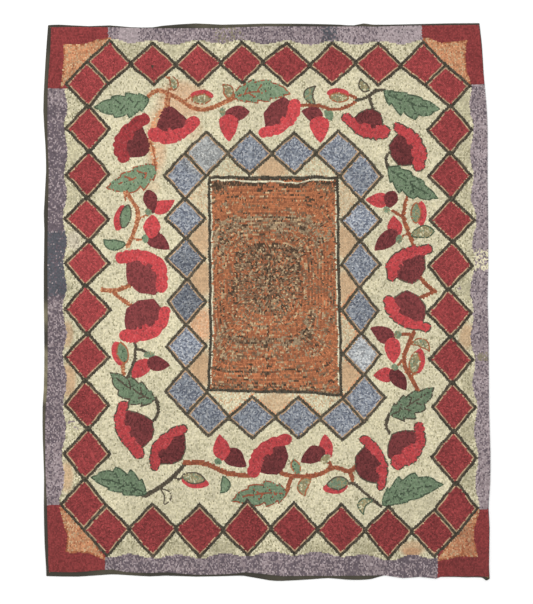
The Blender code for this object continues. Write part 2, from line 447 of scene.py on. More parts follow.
# One row for each leaf, petal, bud's cup or curl, from its foot to its tip. wide: its
# greatest width. belly: how much more of that lies on the left, seen from the foot.
# bow: how far its middle line bends to the left. fullest: where along it it is widest.
# teeth: how deep they are. tone: how much lighter, in hundredths.
Blade = namedtuple(
    "Blade", "foot_x foot_y tip_x tip_y wide belly bow fullest teeth wool edge tone"
)
LEAVES = [
    Blade(-470, 812, -693, 783, 90, 0.2, 4, 0.4, 0.2, "leaf", "leaf_dark", 2),
    Blade(-130, 814, 96, 832, 90, 0.0, 22, 0.42, 0.16, "leaf", "stem_rust", 12),
    Blade(-440, 544, -643, 454, 92, 0.35, 0, 0.4, 0.2, "leaf", "stem_rust", 10),
    Blade(-447, -394, -629, -281, 92, 0.3, 0, 0.4, 0.2, "leaf", "stem_dark", -6),
    Blade(-477, -770, -703, -704, 94, -0.5, 0, 0.46, 0.2, "leaf", "leaf_dark", -6),
    Blade(88, -762, -143, -796, 92, 0.15, -16, 0.36, 0.22, "leaf", "stem_rust", 2),
    Blade(496, -448, 674, -342, 92, -0.3, 0, 0.36, 0.22, "leaf", "stem_dark", -10),
    Blade(461, -814, 711, -729, 100, 0.6, 0, 0.47, 0.16, "leaf", "leaf_dark", -3),
    Blade(468, 842, 697, 774, 88, -0.5, 0, 0.5, 0.2, "leaf", "leaf_dark", -2),
    Blade(486, 540, 688, 412, 88, -0.3, 0, 0.38, 0.18, "leaf", "leaf_dark", -5),
]

# Opening buds: for each a maroon cup, a red petal and a green sepal
OPENING_BUDS = [
    Blade(-172, 750, -68, 758, 54, 0, 0, 0.55, 0, "throat", "", 12),
    Blade(-152, 750, -152, 644, 74, 0, 0, 0.24, 0, "petal", "", -2),
    Blade(-178, 778, -176, 742, 22, 0, 0, 0.5, 0, "pale leaf", "", 0),
    Blade(-462, 374, -368, 408, 54, -0.2, -5, 0.36, 0, "petal", "", 4),
    Blade(-472, 448, -452, 352, 54, 0, 0, 0.36, 0, "throat", "", 2),
    Blade(-486, 366, -458, 350, 24, 0, 0, 0.5, 0, "pale leaf", "", 0),
    Blade(-480, 262, -387, 210, 62, 0.2, 0, 0.36, 0, "throat", "", 8),
    Blade(-460, 254, -454, 348, 64, 0, 0, 0.5, 0, "petal", "", 2),
    Blade(-486, 270, -484, 236, 24, 0, 0, 0.5, 0, "leaf", "", 4),
    Blade(-466, -236, -536, -308, 60, 0, -5, 0.36, 0, "petal", "", -4),
    Blade(-476, -240, -383, -254, 58, 0, 0, 0.34, 0, "throat", "", 2),
    Blade(-490, -216, -446, -216, 26, 0, 6, 0.5, 0, "pale leaf", "", 0),
    Blade(-168, -600, -80, -658, 72, 0.1, 0, 0.34, 0, "throat", "", -8),
    Blade(-172, -634, -188, -532, 66, 0, 0, 0.4, 0, "petal", "", -6),
    Blade(-206, -630, -176, -648, 26, 0, 0, 0.5, 0, "leaf", "", 4),
    Blade(236, -648, 235, -528, 58, -0.1, 0, 0.5, 0, "petal", "", -6),
    Blade(234, -594, 138, -642, 66, -0.2, 0, 0.36, 0, "throat", "", -8),
    Blade(218, -642, 258, -614, 32, 0, 0, 0.5, 0, "olive", "", 0),
    Blade(488, 406, 398, 410, 58, 0, 0, 0.32, 0, "petal", "", -2),
    Blade(506, 446, 486, 374, 56, 0, 0, 0.4, 0, "throat", "", -4),
    Blade(466, 372, 494, 364, 22, 0, 0, 0.5, 0, "pale leaf", "", 10),
    Blade(519, 252, 508, 344, 58, 0, 0, 0.5, 0, "petal", "", -2),
    Blade(520, 284, 433, 206, 64, 0, 0, 0.34, 0, "throat", "", 4),
    Blade(532, 268, 530, 234, 26, 0, 0, 0.5, 0, "pale leaf", "", 0),
    Blade(512, -160, 414, -102, 62, 0, -5, 0.36, 0, "throat", "", 6),
    Blade(500, -140, 514, -244, 64, 0, 0, 0.36, 0, "petal", "", 0),
    Blade(518, -114, 532, -148, 26, 0, 0, 0.5, 0, "pale leaf", "", 0),
    Blade(510, -300, 428, -294, 58, -0.2, 0, 0.32, 0, "petal", "", -6),
    Blade(500, -268, 558, -352, 60, 0, 0, 0.44, 0, "throat", "", -8),
    Blade(502, -262, 532, -258, 28, 0, 0, 0.5, 0, "pale leaf", "", 0),
    Blade(226, 738, 140, 764, 58, -0.1, 0, 0.4, 0, "throat", "", 8),
    Blade(212, 744, 217, 636, 74, 0, 0, 0.24, 0, "petal", "", 2),
    Blade(232, 766, 260, 728, 34, 0, 6, 0.5, 0, "leaf", "", 0),
]

CURLS = [
    Blade(-372, 846, -398, 900, 36, 0, -14, 0.35, 0, "olive", "stem", 0),
    Blade(-158, 812, -178, 870, 42, 0, -16, 0.4, 0, "olive", "stem", 0),
    Blade(196, 792, 200, 866, 40, 0, 30, 0.5, 0, "pale leaf", "stem_dark", 0),
    Blade(416, 848, 380, 896, 38, 0, 14, 0.4, 0, "olive", "stem_dark", 0),
    Blade(-564, 236, -652, 250, 44, 0, 16, 0.55, 0, "leaf", "leaf_dark", 4),
    Blade(580, 262, 676, 282, 52, 0, 8, 0.6, 0, "olive", "leaf_dark", 0),
    Blade(580, -170, 652, -202, 38, 0, 24, 0.5, 0, "olive", "stem", 0),
    Blade(-422, -748, -412, -812, 32, 0, 22, 0.5, 0, "ground", "stem_dark", 2),
    Blade(-174, -698, -188, -764, 40, 0, 18, 0.5, 0, "leaf", "leaf_dark", 6),
    Blade(130, -690, 106, -626, 36, 0, 0, 0.5, 0, "leaf", "stem", 6),
    Blade(180, -708, 158, -776, 44, 0, -24, 0.5, 0, "olive", "stem", 0),
    Blade(424, -794, 392, -850, 36, 0, -28, 0.5, 0, "olive", "leaf_dark", 14),
]

# One row for each closed bud: a pod, with red behind it, shifted to one side
Bud = namedtuple("Bud", "x y long wide turn shift_x shift_y wool edge")
BUDS = [
    Bud(-261, 811, 78, 40, 0, 2, 15, "olive", "stem"),
    Bud(-563, 341, 90, 46, 78, -22, -6, "leaf", "stem_dark"),
    Bud(-574, -203, 82, 48, 104, -18, -3, "leaf", "stem"),
    Bud(-291, -704, 92, 48, -8, 6, -16, "olive", "stem_dark"),
    Bud(286, -725, 86, 50, 6, -10, -16, "pale leaf", "stem_dark"),
    Bud(598, 356, 82, 40, 88, 21, -2, "pale leaf", "stem"),
    Bud(594, -242, 84, 44, 84, 17, 6, "olive", "stem"),
    Bud(291, 818, 76, 40, -4, -4, 16, "olive", "stem"),
]

# One row for each stem, with its bends
Stem = namedtuple("Stem", "wool wide bends")
STEMS = [
    Stem("haze", 24, [(-398, 776), (-440, 740), (-452, 690), (-464, 640), (-450, 590), (-440, 544)]),
    Stem("stem", 10, [(-462, 640), (-450, 600), (-440, 544)]),
    Stem("stem", 17, [(-474, 820), (-442, 850), (-387, 834), (-342, 808), (-302, 780), (-260, 767),
                      (-212, 778), (-163, 802), (-122, 820)]),
    Stem("stem", 22, [(-391, 830), (-396, 800), (-396, 772)]),
    Stem("stem", 10, [(-394, 840), (-384, 858), (-362, 862), (-360, 892), (-400, 900)]),
    Stem("stem", 10, [(-330, 800), (-300, 826), (-260, 838)]),
    Stem("stem", 17, [(-566, 446), (-540, 408), (-514, 367), (-511, 332), (-528, 270), (-556, 222)]),
    Stem("stem", 10, [(-570, 446), (-564, 408)]),
    Stem("stem", 10, [(-506, 336), (-474, 348)]),
    Stem("stem", 10, [(-535, 250), (-490, 248)]),
    Stem("stem", 18, [(-656, 50), (-608, 42), (-546, 66)]),
    Stem("stem", 16, [(-614, 42), (-582, 10), (-540, -18)]),
    Stem("dark stem", 13, [(-528, -150), (-518, -191), (-532, -260), (-566, -314)]),
    Stem("dark stem", 12, [(-518, -188), (-484, -196), (-460, -212)]),
    Stem("stem", 16, [(-573, -246), (-570, -300)]),
    Stem("dark stem", 13, [(-442, -386), (-430, -430), (-437, -458), (-462, -486)]),
    Stem("dark stem", 17, [(-486, -776), (-432, -747), (-377, -706), (-326, -648)]),
    Stem("dark stem", 10, [(-377, -706), (-336, -708)]),
    Stem("rust stem", 20, [(-326, -644), (-254, -640), (-198, -668), (-150, -688), (-60, -692)]),
    Stem("rust stem", 18, [(60, -682), (107, -695), (183, -698), (253, -670), (280, -660), (330, -684),
                           (358, -656)]),
    Stem("rust stem", 13, [(262, -664), (252, -640)]),
    Stem("rust stem", 16, [(336, -684), (346, -712)]),
    Stem("rust stem", 17, [(104, -698), (84, -756)]),
    Stem("dark stem", 13, [(316, -726), (356, -724), (400, -768), (458, -818)]),
    Stem("dark stem", 13, [(494, -522), (479, -496), (484, -470), (492, -448)]),
    Stem("rust stem", 16, [(566, 424), (552, 380), (548, 340), (566, 283), (591, 222)]),
    Stem("rust stem", 12, [(548, 340), (500, 364)]),
    Stem("rust stem", 10, [(566, 272), (532, 258)]),
    Stem("rust stem", 17, [(612, 104), (646, 62), (676, 44)]),
    Stem("rust stem", 16, [(674, 44), (640, 26), (608, 14)]),
    Stem("rust stem", 17, [(590, -120), (563, -184), (546, -230), (573, -288), (612, -368)]),
    Stem("rust stem", 12, [(584, -128), (530, -132)]),
    Stem("rust stem", 12, [(546, -232), (520, -262)]),
    Stem("stem", 10, [(584, -296), (596, -280)]),
    Stem("rust stem", 14, [(112, 787), (204, 790), (274, 768), (330, 784), (370, 812), (340, 826),
                           (322, 824)]),
    Stem("dark stem", 12, [(362, 806), (406, 822), (444, 850), (474, 846)]),
    Stem("dark stem", 13, [(412, 824), (428, 770)]),
    Stem("dark stem", 10, [(444, 850), (426, 846)]),
    Stem("dark stem", 13, [(488, 592), (477, 564), (490, 526)]),
]

# The cream line that wanders along inside the top of the middle field's frame
CREAM_LINE = [(-228, 491), (-157, 489), (-97, 485), (-36, 482), (40, 485), (92, 477), (127, 476),
              (172, 487), (270, 488)]

# The bands of the middle field above, beside and below its middle, by how far out its
# rings of rows lie. The columns are the shares of each colour of strip.
Band = namedtuple("Band", "out rust rust_deep brown taupe straw bark")
BANDS_ABOVE = [
    Band(0, 0.08, 0.12, 0.38, 0.15, 0.08, 0.19),
    Band(116, 0.09, 0.14, 0.37, 0.14, 0.08, 0.18),
    Band(126, 0.04, 0.10, 0.34, 0.12, 0.04, 0.36),
    Band(138, 0.04, 0.10, 0.34, 0.12, 0.04, 0.36),
    Band(146, 0.26, 0.26, 0.22, 0.08, 0.14, 0.04),
    Band(160, 0.20, 0.22, 0.20, 0.10, 0.24, 0.04),
    Band(174, 0.30, 0.28, 0.20, 0.08, 0.10, 0.04),
    Band(186, 0.08, 0.12, 0.22, 0.40, 0.12, 0.06),
    Band(226, 0.08, 0.12, 0.22, 0.40, 0.12, 0.06),
    Band(240, 0.48, 0.28, 0.10, 0.04, 0.04, 0.06),
    Band(318, 0.54, 0.28, 0.08, 0.02, 0.03, 0.05),
    Band(450, 0.50, 0.28, 0.12, 0.02, 0.03, 0.05),
]
BANDS_BESIDE = [
    Band(0, 0.08, 0.12, 0.38, 0.15, 0.08, 0.19),
    Band(112, 0.11, 0.17, 0.35, 0.14, 0.08, 0.15),
    Band(130, 0.10, 0.16, 0.32, 0.12, 0.08, 0.22),
    Band(146, 0.34, 0.30, 0.20, 0.05, 0.06, 0.05),
    Band(200, 0.40, 0.30, 0.16, 0.05, 0.05, 0.04),
    Band(450, 0.46, 0.30, 0.12, 0.04, 0.04, 0.04),
]
BANDS_BELOW = [
    Band(0, 0.08, 0.12, 0.38, 0.15, 0.08, 0.19),
    Band(96, 0.11, 0.17, 0.35, 0.14, 0.08, 0.15),
    Band(110, 0.42, 0.26, 0.12, 0.08, 0.10, 0.02),
    Band(170, 0.42, 0.26, 0.12, 0.08, 0.10, 0.02),
    Band(180, 0.06, 0.12, 0.30, 0.28, 0.06, 0.18),
    Band(194, 0.06, 0.12, 0.30, 0.28, 0.06, 0.18),
    Band(204, 0.26, 0.24, 0.18, 0.20, 0.10, 0.02),
    Band(240, 0.28, 0.26, 0.18, 0.16, 0.10, 0.02),
    Band(256, 0.48, 0.28, 0.10, 0.05, 0.07, 0.02),
    Band(282, 0.50, 0.28, 0.10, 0.03, 0.07, 0.02),
    Band(287, 0.16, 0.24, 0.30, 0.06, 0.04, 0.20),
    Band(292, 0.16, 0.24, 0.30, 0.06, 0.04, 0.20),
    Band(298, 0.50, 0.28, 0.10, 0.04, 0.05, 0.03),
    Band(328, 0.48, 0.28, 0.12, 0.04, 0.05, 0.03),
    Band(338, 0.22, 0.24, 0.24, 0.10, 0.06, 0.14),
    Band(450, 0.22, 0.24, 0.24, 0.10, 0.06, 0.14),
]

# The middle of the field's rings, and how much flatter than round they are
MIDDLE_X, MIDDLE_Y = 6.0, 68.0
MIDDLE_SQUASH = 0.84

# Small marks where the maker used what wool was left, wherever they lie
MARKS = [
    Patch(-458, 944, 7, 6, "outline", 0.8),
    Patch(-282, 948, 12, 3, "throat_deep", 0.8),
    Patch(300, -860, 22, 16, "red_deep", 0.5),
    Patch(774, 52, 9, 9, "mauve", 0.7),
    Patch(786, -1000, 9, 26, "stem", 0.5),
    Patch(806, -966, 9, 22, "stem_rust", 0.4),
    Patch(-788, -480, 22, 6, "mauve", 0.7),
    Patch(-760, -500, 8, 12, "mauve", 0.5),
]

# Squares of the inner ring whose wool has greyed, and a corner where it is darker
SQUARE_PATCHES = [
    Patch(-241, 597, 110, 110, "sage", 0.22),
    Patch(382, -210, 110, 110, "sage", 0.16),
    Patch(840, -1050, 150, 90, "throat_deep", 0.3),
]

# Squares of the inner ring whose triangle beside the middle has a peach line: each by
# its side and its place
TRIMMED = (("bottom", 1), ("bottom", 2), ("right", 3), ("right", 4), ("right", 5))

# Soft patches of another strip in the middle field, and two narrow dark ones down its
# middle that are painted shade along the crease of the fold
FIELD_PATCHES_AND_CREASE_SHADE = [
    Patch(-190, 464, 44, 36, "brown", 0.8),
    Patch(-196, 471, 40, 27, "bark", 0.66),
    Patch(-90, 473, 110, 10, "brown", 0.9),
    Patch(-90, 474, 110, 10, "bark", 0.74),
    Patch(106, 468, 60, 13, "brown", 0.9),
    Patch(106, 468, 60, 13, "bark", 0.76),
    Patch(240, 468, 44, 34, "brown", 0.6),
    Patch(220, 476, 74, 10, "bark", 0.6),
    Patch(20, 494, 330, 6, "bark", 0.9),
    Patch(-204, 268, 12, 30, "taupe", 0.6),
    Patch(248, 266, 12, 34, "taupe", 0.6),
    # Painted shade: the fold's crease down the middle, darkened with bark
    Patch(6, 100, 12, 130, "bark", 0.34),
    Patch(4, -180, 9, 150, "bark", 0.3),
    Patch(-190, -140, 14, 44, "taupe", 0.5),
]

# Which dyes are worked together in each part of the design, and in what shares.
# spread: how much loops differ in lightness. strand: how often a loop has the dye of
# its stretch of the row, and not one of its own. piece: the pile that they belong to.
Wool = namedtuple("Wool", "name dyes shares spread strand piece")
WOOLS = [
    Wool("ground", ("cream", "sage", "speck"), (0.68, 0.28, 0.04), 0.06, 0, "pile_ground"),
    Wool("outer ground", ("cream", "sage", "speck"), (0.46, 0.36, 0.18), 0.07, 0, "pile_border"),
    Wool("inner ground", ("cream", "peach_pale", "sage"), (0.5, 0.2, 0.3), 0.07, 0,
         "pile_blue_squares"),
    Wool("border", ("mauve", "mauve_dark", "mauve_pale"), (0.52, 0.26, 0.22), 0.08, 0, "pile_border"),
    Wool("corner", ("corner_red", "red_deep"), (0.75, 0.25), 0.11, 0.2, "pile_border"),
    Wool("peach piece", ("peach", "peach_pale", "stem"), (0.72, 0.22, 0.06), 0.1, 0, "pile_border"),
    Wool("red square", ("red", "red_deep"), (0.72, 0.28), 0.12, 0.15, "pile_red_squares"),
    Wool("blue square", ("blue", "blue_dark", "blue_pale"), (0.44, 0.28, 0.28), 0.09, 0.1,
         "pile_blue_squares"),
    Wool("outline", ("outline", "stem_dark"), (0.72, 0.28), 0.16, 0.2, "line"),
    Wool("light line", ("thread", "peach_pale"), (0.75, 0.25), 0.1, 0.2, "line"),
    Wool("petal", ("petal", "petal_light", "red"), (0.7, 0.14, 0.16), 0.06, 0.1, "pile_flowers"),
    Wool("throat", ("throat", "throat_deep"), (0.7, 0.3), 0.09, 0.2, "pile_flowers"),
    Wool("leaf", ("leaf", "leaf_dark", "leaf_light"), (0.76, 0.06, 0.18), 0.085, 0.1, "pile_flowers"),
    Wool("pale leaf", ("leaf_light", "leaf", "olive"), (0.5, 0.2, 0.3), 0.09, 0.1, "pile_flowers"),
    Wool("olive", ("olive", "sage", "leaf_light"), (0.64, 0.24, 0.12), 0.09, 0.1, "pile_flowers"),
    Wool("haze", ("haze", "peach_pale", "cream"), (0.66, 0.2, 0.14), 0.07, 0.1, "pile_flowers"),
    Wool("stem", ("stem", "peach"), (0.72, 0.28), 0.09, 0.2, "pile_flowers"),
    Wool("rust stem", ("stem_rust", "stem"), (0.75, 0.25), 0.09, 0.2, "pile_flowers"),
    Wool("dark stem", ("stem_dark", "outline"), (0.75, 0.25), 0.1, 0.2, "pile_flowers"),
    Wool("middle field", ("rust", "rust_deep", "brown", "taupe", "straw", "bark"), (), 0.09, 0.6,
         "pile_middle"),
]
WOOL_NUMBER = {wool.name: number for number, wool in enumerate(WOOLS)}
STRAND_LENGTH = 23  # millimetres of a row that one strand of wool hooks
PIECES = (
    "pile_ground", "pile_border", "pile_red_squares", "pile_blue_squares", "pile_flowers",
    "pile_middle",
)

# Boxes that part the design: outside the red ring, inside the blue one, and the line
# halfway between the two rings
Box = namedtuple("Box", "x y half_x half_y")
RED_RING_BOX = Box(16, 15, 735, 930)
BLUE_RING_BOX = Box(30, 64, 350, 530)
BETWEEN_RINGS_BOX = Box(12, 60, 470, 640)

SIDES = ("top", "left", "bottom", "right")


def axis_of(side):
    """Which way a side runs: 0 along x, 1 along y."""
    return 0 if side in ("top", "bottom") else 1


def sign_of(side):
    """Which way a side lies from the rug's middle along the other axis."""
    return 1 if side in ("top", "right") else -1


# Numbers that spread the bits of a hash
HASH_START = 0x9E3779B97F4A7C15
HASH_KEY = np.uint64(0xBF58476D1CE4E5B9)
HASH_END = np.uint64(0x94D049BB133111EB)


def hashed(*keys):
    """A number from 0 to 1 for each set of whole numbers: their bits are mixed."""
    mixed = np.full(np.broadcast(*keys).shape, HASH_START, np.uint64)
    for key in keys:
        whole = np.asarray(key).astype(np.int64).astype(np.uint64)
        mixed = (mixed ^ whole) * HASH_KEY
        mixed ^= mixed >> np.uint64(29)
    mixed *= HASH_END
    return (mixed >> np.uint64(11)) / 2.0**53


def waves(x, y, size, seed):
    """Smooth noise from -1 to 1: hashed values at a lattice's corners, blended between
    them by a smooth step."""
    u, v = np.asarray(x) / size, np.asarray(y) / size
    i, j = np.floor(u), np.floor(v)
    s, t = u - i, v - j
    s, t = s * s * (3 - 2 * s), t * t * (3 - 2 * t)
    low = hashed(i, j, seed) * (1 - s) + hashed(i + 1, j, seed) * s
    high = hashed(i, j + 1, seed) * (1 - s) + hashed(i + 1, j + 1, seed) * s
    return 2 * (low * (1 - t) + high * t) - 1


def smooth_step(low, high, value):
    """From nought at low to one at high, level at both."""
    share = np.clip((value - low) / (high - low), 0, 1)
    return share * share * (3 - 2 * share)


def soft_span(start, end, fringe, value):
    """One between start and end and nought beyond, over a soft fringe at both."""
    begun = smooth_step(start - fringe, start + fringe, value)
    return begun - smooth_step(end - fringe, end + fringe, value)


def hand_drift(points):
    """How far the maker's hand strays from the drawn line at each point: two sizes of
    smooth noise in each direction."""
    x, y = points[:, 0], points[:, 1]
    across = 2.0 * waves(x, y, 95, 11) + 2.2 * waves(x, y, 25, 12)
    along = 2.0 * waves(x, y, 95, 13) + 2.2 * waves(x, y, 25, 14)
    return np.column_stack([across, along])


def drawn(polygon):
    """A table of corners as an array, counter-clockwise."""
    points = np.array([(corner[0], corner[1]) for corner in polygon], float)
    x, y = points.T
    area = (x * np.roll(y, -1) - np.roll(x, -1) * y).sum()
    return points if area > 0 else points[::-1]


def inset(polygon, distance):
    """A counter-clockwise polygon with every edge moved inwards by the distance: each
    corner moves along its mitre."""
    edges = np.roll(polygon, -1, 0) - polygon
    normals = np.column_stack([-edges[:, 1], edges[:, 0]])
    normals /= np.maximum(np.hypot(*edges.T), 1e-9)[:, None]
    before = np.roll(normals, 1, 0)
    mitre = (normals + before) / np.maximum(1 + (normals * before).sum(1), 0.4)[:, None]
    return polygon + mitre * distance


def from_edges(points, start, end):
    """How far each point is from the nearest of some straight edges."""
    edge = end - start
    rel = points[:, None, :] - start
    share = np.clip((rel * edge).sum(2) / np.maximum((edge**2).sum(1), 1e-9), 0, 1)
    return np.sqrt(((rel - share[..., None] * edge) ** 2).sum(2)).min(1)


def from_spots(points, spots):
    """How far each point is from the nearest of some spots."""
    return np.hypot(*(points[:, None] - spots).transpose(2, 0, 1)).min(1)


def depth_in(points, polygon):
    """How far each point lies inside a polygon's edge, below nought outside: the
    nearest edge's distance, signed by how often a ray crosses the edges."""
    start, end = polygon, np.roll(polygon, -1, 0)
    away = from_edges(points, start, end)
    edge = end - start
    x, y = points[:, 0, None], points[:, 1, None]
    spans = (start[:, 1] > y) != (end[:, 1] > y)
    rise = np.where(np.abs(edge[:, 1]) < 1e-9, 1e-9, edge[:, 1])
    crossings = spans & (x < edge[:, 0] * (y - start[:, 1]) / rise + start[:, 0])
    return np.where(crossings.sum(1) % 2 == 1, away, -away)


def out_of_box(points, box):
    """How far out each point lies from a box's middle, where one is the box's edge."""
    x, y = points.T
    return np.maximum(np.abs(x - box.x) / box.half_x, np.abs(y - box.y) / box.half_y)


def near(points, polygon, margin):
    """Which points lie within a polygon's box and a margin."""
    low, high = polygon.min(0) - margin, polygon.max(0) + margin
    return np.flatnonzero(((points > low) & (points < high)).all(1))


def closed(polygon):
    """A polygon as a polyline that ends where it starts."""
    return np.vstack([polygon, polygon[:1]])


def squares(ring):
    """The squares of a ring, each with its tone: from where it meets the one before,
    by its outer point and where it meets the next, to its inner point, and a little
    larger, so that its points overlap the next. The two squares at each of the ring's
    corners share a side."""
    made = {side: [] for side in SIDES}
    for side in SIDES:
        links = getattr(ring, side)
        for here, there in zip(links, links[1:]):
            along = (here.along + there.along) / 2
            outwards = np.sign(here.outer - here.inner) * POINT_BEYOND_LINE
            corners = np.array(
                [
                    (here.along, here.across),
                    (along, here.outer - outwards),
                    (there.along, there.across),
                    (along, here.inner + outwards),
                ],
                float,
            )
            if side in ("left", "right"):
                corners = corners[:, ::-1].copy()
            middle = corners.mean(0)
            made[side].append((middle + ring.swell * (corners - middle), here.tone))
    # Which square and point of a level side lie on which of an upright side
    ring_corners = (
        ("top", 0, 0, "left", 0, 0), ("top", -1, 2, "right", 0, 0),
        ("bottom", 0, 0, "left", -1, 2), ("bottom", -1, 2, "right", -1, 2),
    )
    for level, k, met, upright, m, met_there in ring_corners:
        one, other = made[level][k][0], made[upright][m][0]
        one[3] = other[3] = (one[3] + other[3]) / 2
        one[met] = other[met_there] = (one[met] + other[met_there]) / 2
    return [(drawn(corners), tone) for side in SIDES for corners, tone in made[side]]


def bend_through(start, middle, end, count):
    """A curve with one bend, from start to end through middle."""
    t = np.linspace(0, 1, count)[:, None]
    handle = 2 * middle - (start + end) / 2
    return (1 - t) ** 2 * start + 2 * t * (1 - t) * handle + t**2 * end


def sideways(line):
    """The way to the left of a polyline at each of its points."""
    way = np.gradient(line, axis=0)
    way /= np.maximum(np.hypot(*way.T), 1e-9)[:, None]
    return np.column_stack([-way[:, 1], way[:, 0]])


def offset_line(line, shift):
    """A polyline moved sideways by the shift."""
    return line + shift * sideways(line)


LIP_OUT = 26  # from the line of a lip to its outer side


def lip_line(flower):
    """The curve from a flower's ear to its end, through its middle."""
    ear = np.array([flower.ear_x, flower.ear_y], float)
    middle = np.array([flower.middle_x, flower.middle_y], float)
    end = np.array([flower.end_x, flower.end_y], float)
    return bend_through(ear, middle, end, 40)


def lip_outline(flower, seed):
    """A band along the lip's line, round at both ends. It is fullest past its middle and
    narrows behind its ear. Its outer side is ruffled, its inner side stepped, both
    unevenly."""
    line = lip_line(flower)
    share = np.linspace(0, 1, len(line))
    left = sideways(line)
    outwards = line[20] - (flower.stem_x, flower.stem_y)
    out = left * np.sign(left[20] @ outwards)
    half = (flower.lip + flower.fuller * share + 5 * np.sin(np.pi * share)) / 2
    half = half * (1 - 0.16 * np.exp(-(((share - 0.2) / 0.09) ** 2)))
    line = line + out * (LIP_OUT - half)[:, None]
    way = 3.7 * share + 1.3 * waves(3.1 * share, share * 0 + seed, 0.8, 15) + 0.37 * seed
    scallop = 0.3 * np.abs(np.sin(np.pi * way)) ** 0.75 - 0.14
    step = 0.26 * np.sign(waves(5.3 * share, share * 0 + seed, 0.6, 16))
    step = step + 0.24 * waves(2.2 * share, share * 0 + seed, 0.4, 17)
    outer = line + out * (half * (0.9 + scallop))[:, None]
    inner = line - out * (half * (0.98 + step * np.sin(np.pi * share)))[:, None]
    turn = np.linspace(0, np.pi, 12)[1:-1, None]
    ahead = line[-1] - line[-2]
    ahead /= np.hypot(*ahead)
    back = line[0] - line[1]
    back /= np.hypot(*back)
    end_cap = line[-1] + 0.9 * half[-1] * (np.cos(turn) * out[-1] + np.sin(turn) * ahead)
    ear_cap = line[0] + half[0] * (-np.cos(turn) * out[0] + np.sin(turn) * back)
    return drawn(np.vstack([outer, end_cap, inner[::-1], ear_cap]))


def cup_outline(flower):
    """A cup that widens from its foot, with bulging sides, to both ends of the lip's
    line."""
    line = lip_line(flower)[3:-2]
    stem = np.array([flower.stem_x, flower.stem_y], float)
    up = line[len(line) // 2] - stem
    up /= np.hypot(*up)
    side = np.array([-up[1], up[0]])
    side *= np.sign(side @ (line[0] - stem))
    corners = [stem + side * flower.blunt / 2, stem - side * flower.blunt / 2]
    sides = []
    for corner, top, sign in ((corners[0], line[0], 1), (corners[1], line[-1], -1)):
        middle = (corner + top) / 2 + sign * side * 0.09 * np.hypot(*(top - corner))
        sides.append(bend_through(corner, middle, top, 10))
    foot = stem - 0.12 * flower.blunt * up
    return drawn(np.vstack([foot, sides[0], line, sides[1][::-1]]))


def blade_lines(blade):
    """A blade's middle line, the way to its left along it, and half its width there: it
    swells quickly from its foot to its fullest place, and its teeth point to the tip."""
    foot, tip = np.array([(blade.foot_x, blade.foot_y), (blade.tip_x, blade.tip_y)], float)
    span = tip - foot
    left = np.array([-span[1], span[0]]) / np.hypot(*span)
    line = bend_through(foot, (foot + tip) / 2 + blade.bow * left, tip, 44)
    share = np.linspace(0, 1, 44)
    before = np.clip(share / blade.fullest, 0, 1)
    after = np.clip((share - blade.fullest) / (1 - blade.fullest), 0, 1)
    swell = np.sin(np.pi / 2 * before) ** 0.6 * np.maximum(np.cos(np.pi / 2 * after), 0) ** 0.85
    saw = ((4.1 * share + 0.3) % 1) ** 0.7 - 0.6
    return line, sideways(line), blade.wide / 2 * swell * (1.04 + 1.9 * blade.teeth * saw)


def blade_outline(blade):
    """A blade's two sides, shared out unevenly about its middle line."""
    line, left, half = blade_lines(blade)
    one = line + left * (half * (1 + blade.belly))[:, None]
    other = line - left * (half * (1 - blade.belly))[:, None]
    return drawn(np.vstack([one, other[-2:0:-1]]))


def leaf_veins(leaf):
    """A midrib that keeps to the middle of the leaf's width, and side veins that leave
    it at half a right angle."""
    line, left, half = blade_lines(leaf)
    middle = line + left * (0.6 * leaf.belly * half)[:, None]
    ahead = np.column_stack([left[:, 1], -left[:, 0]])
    lines = [middle[2:37]]
    for k, side in ((8, 1), (11, -1), (18, 1), (21, -1)):
        reach = 0.6 * half[k] * (1 + 0.4 * side * leaf.belly) * np.linspace(0, 1, 8)[:, None]
        lines.append(middle[k] + reach * (ahead[k] + side * left[k]))
    return lines


def oval(x, y, long, wide, turn):
    """An oval with slightly drawn-out ends, turned by some degrees."""
    way = np.linspace(-np.pi, np.pi, 32, endpoint=False)
    u = long / 2 * np.cos(way) * (1 + 0.06 * np.cos(2 * way))
    v = wide / 2 * np.sin(way) * (1 - 0.05 * np.cos(2 * way))
    turn = np.radians(turn)
    across = x + u * np.cos(turn) - v * np.sin(turn)
    up = y + u * np.sin(turn) + v * np.cos(turn)
    return drawn(np.column_stack([across, up]))


def stem_lines():
    """Each stem as a smooth line through its bends."""
    return [(stem, smoothed(np.array(stem.bends, float))) for stem in STEMS]


def smoothed(points):
    """A polyline cut at its corners twice, so that it bends softly."""
    for _ in range(2):
        if len(points) > 2:
            a, b = points[:-1], points[1:]
            cut = np.stack([0.75 * a + 0.25 * b, 0.25 * a + 0.75 * b], 1).reshape(-1, 2)
            points = np.vstack([points[:1], cut[1:-1], points[-1:]])
    return points


def beads(line, pitch):
    """Places a pitch apart along a polyline, read off its running length, and that
    length at each."""
    run = np.concatenate([[0], np.cumsum(np.hypot(*np.diff(line, axis=0).T))])
    count = max(int(round(run[-1] / pitch)), 1)
    places = (np.arange(count) + 0.5) * run[-1] / count
    points = np.column_stack([np.interp(places, run, line[:, k]) for k in (0, 1)])
    return points, places


def mesh_points(mesh):
    """A mesh's points, one a row, in metres."""
    points = np.empty(len(mesh.vertices) * 3, np.float32)
    mesh.vertices.foreach_get("co", points)
    return points.reshape(-1, 3)


def node_points(node, level):
    """A CAD node's points at one height, in millimetres."""
    points = mesh_points(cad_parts[node].data).astype(float) / MM
    level_points = points[np.abs(points[:, 2] - level) < 0.05]
    return np.unique(level_points.round(3), axis=0)[:, :2]


SideLine = namedtuple("SideLine", "along across")


def fold_line(side):
    """Where the tape folds over, along one side."""
    points = node_points(f"binding_{side}", FOLD_LEVEL)
    axis = axis_of(side)
    points = points[np.argsort(points[:, axis])]
    return SideLine(points[:, axis], points[:, 1 - axis])


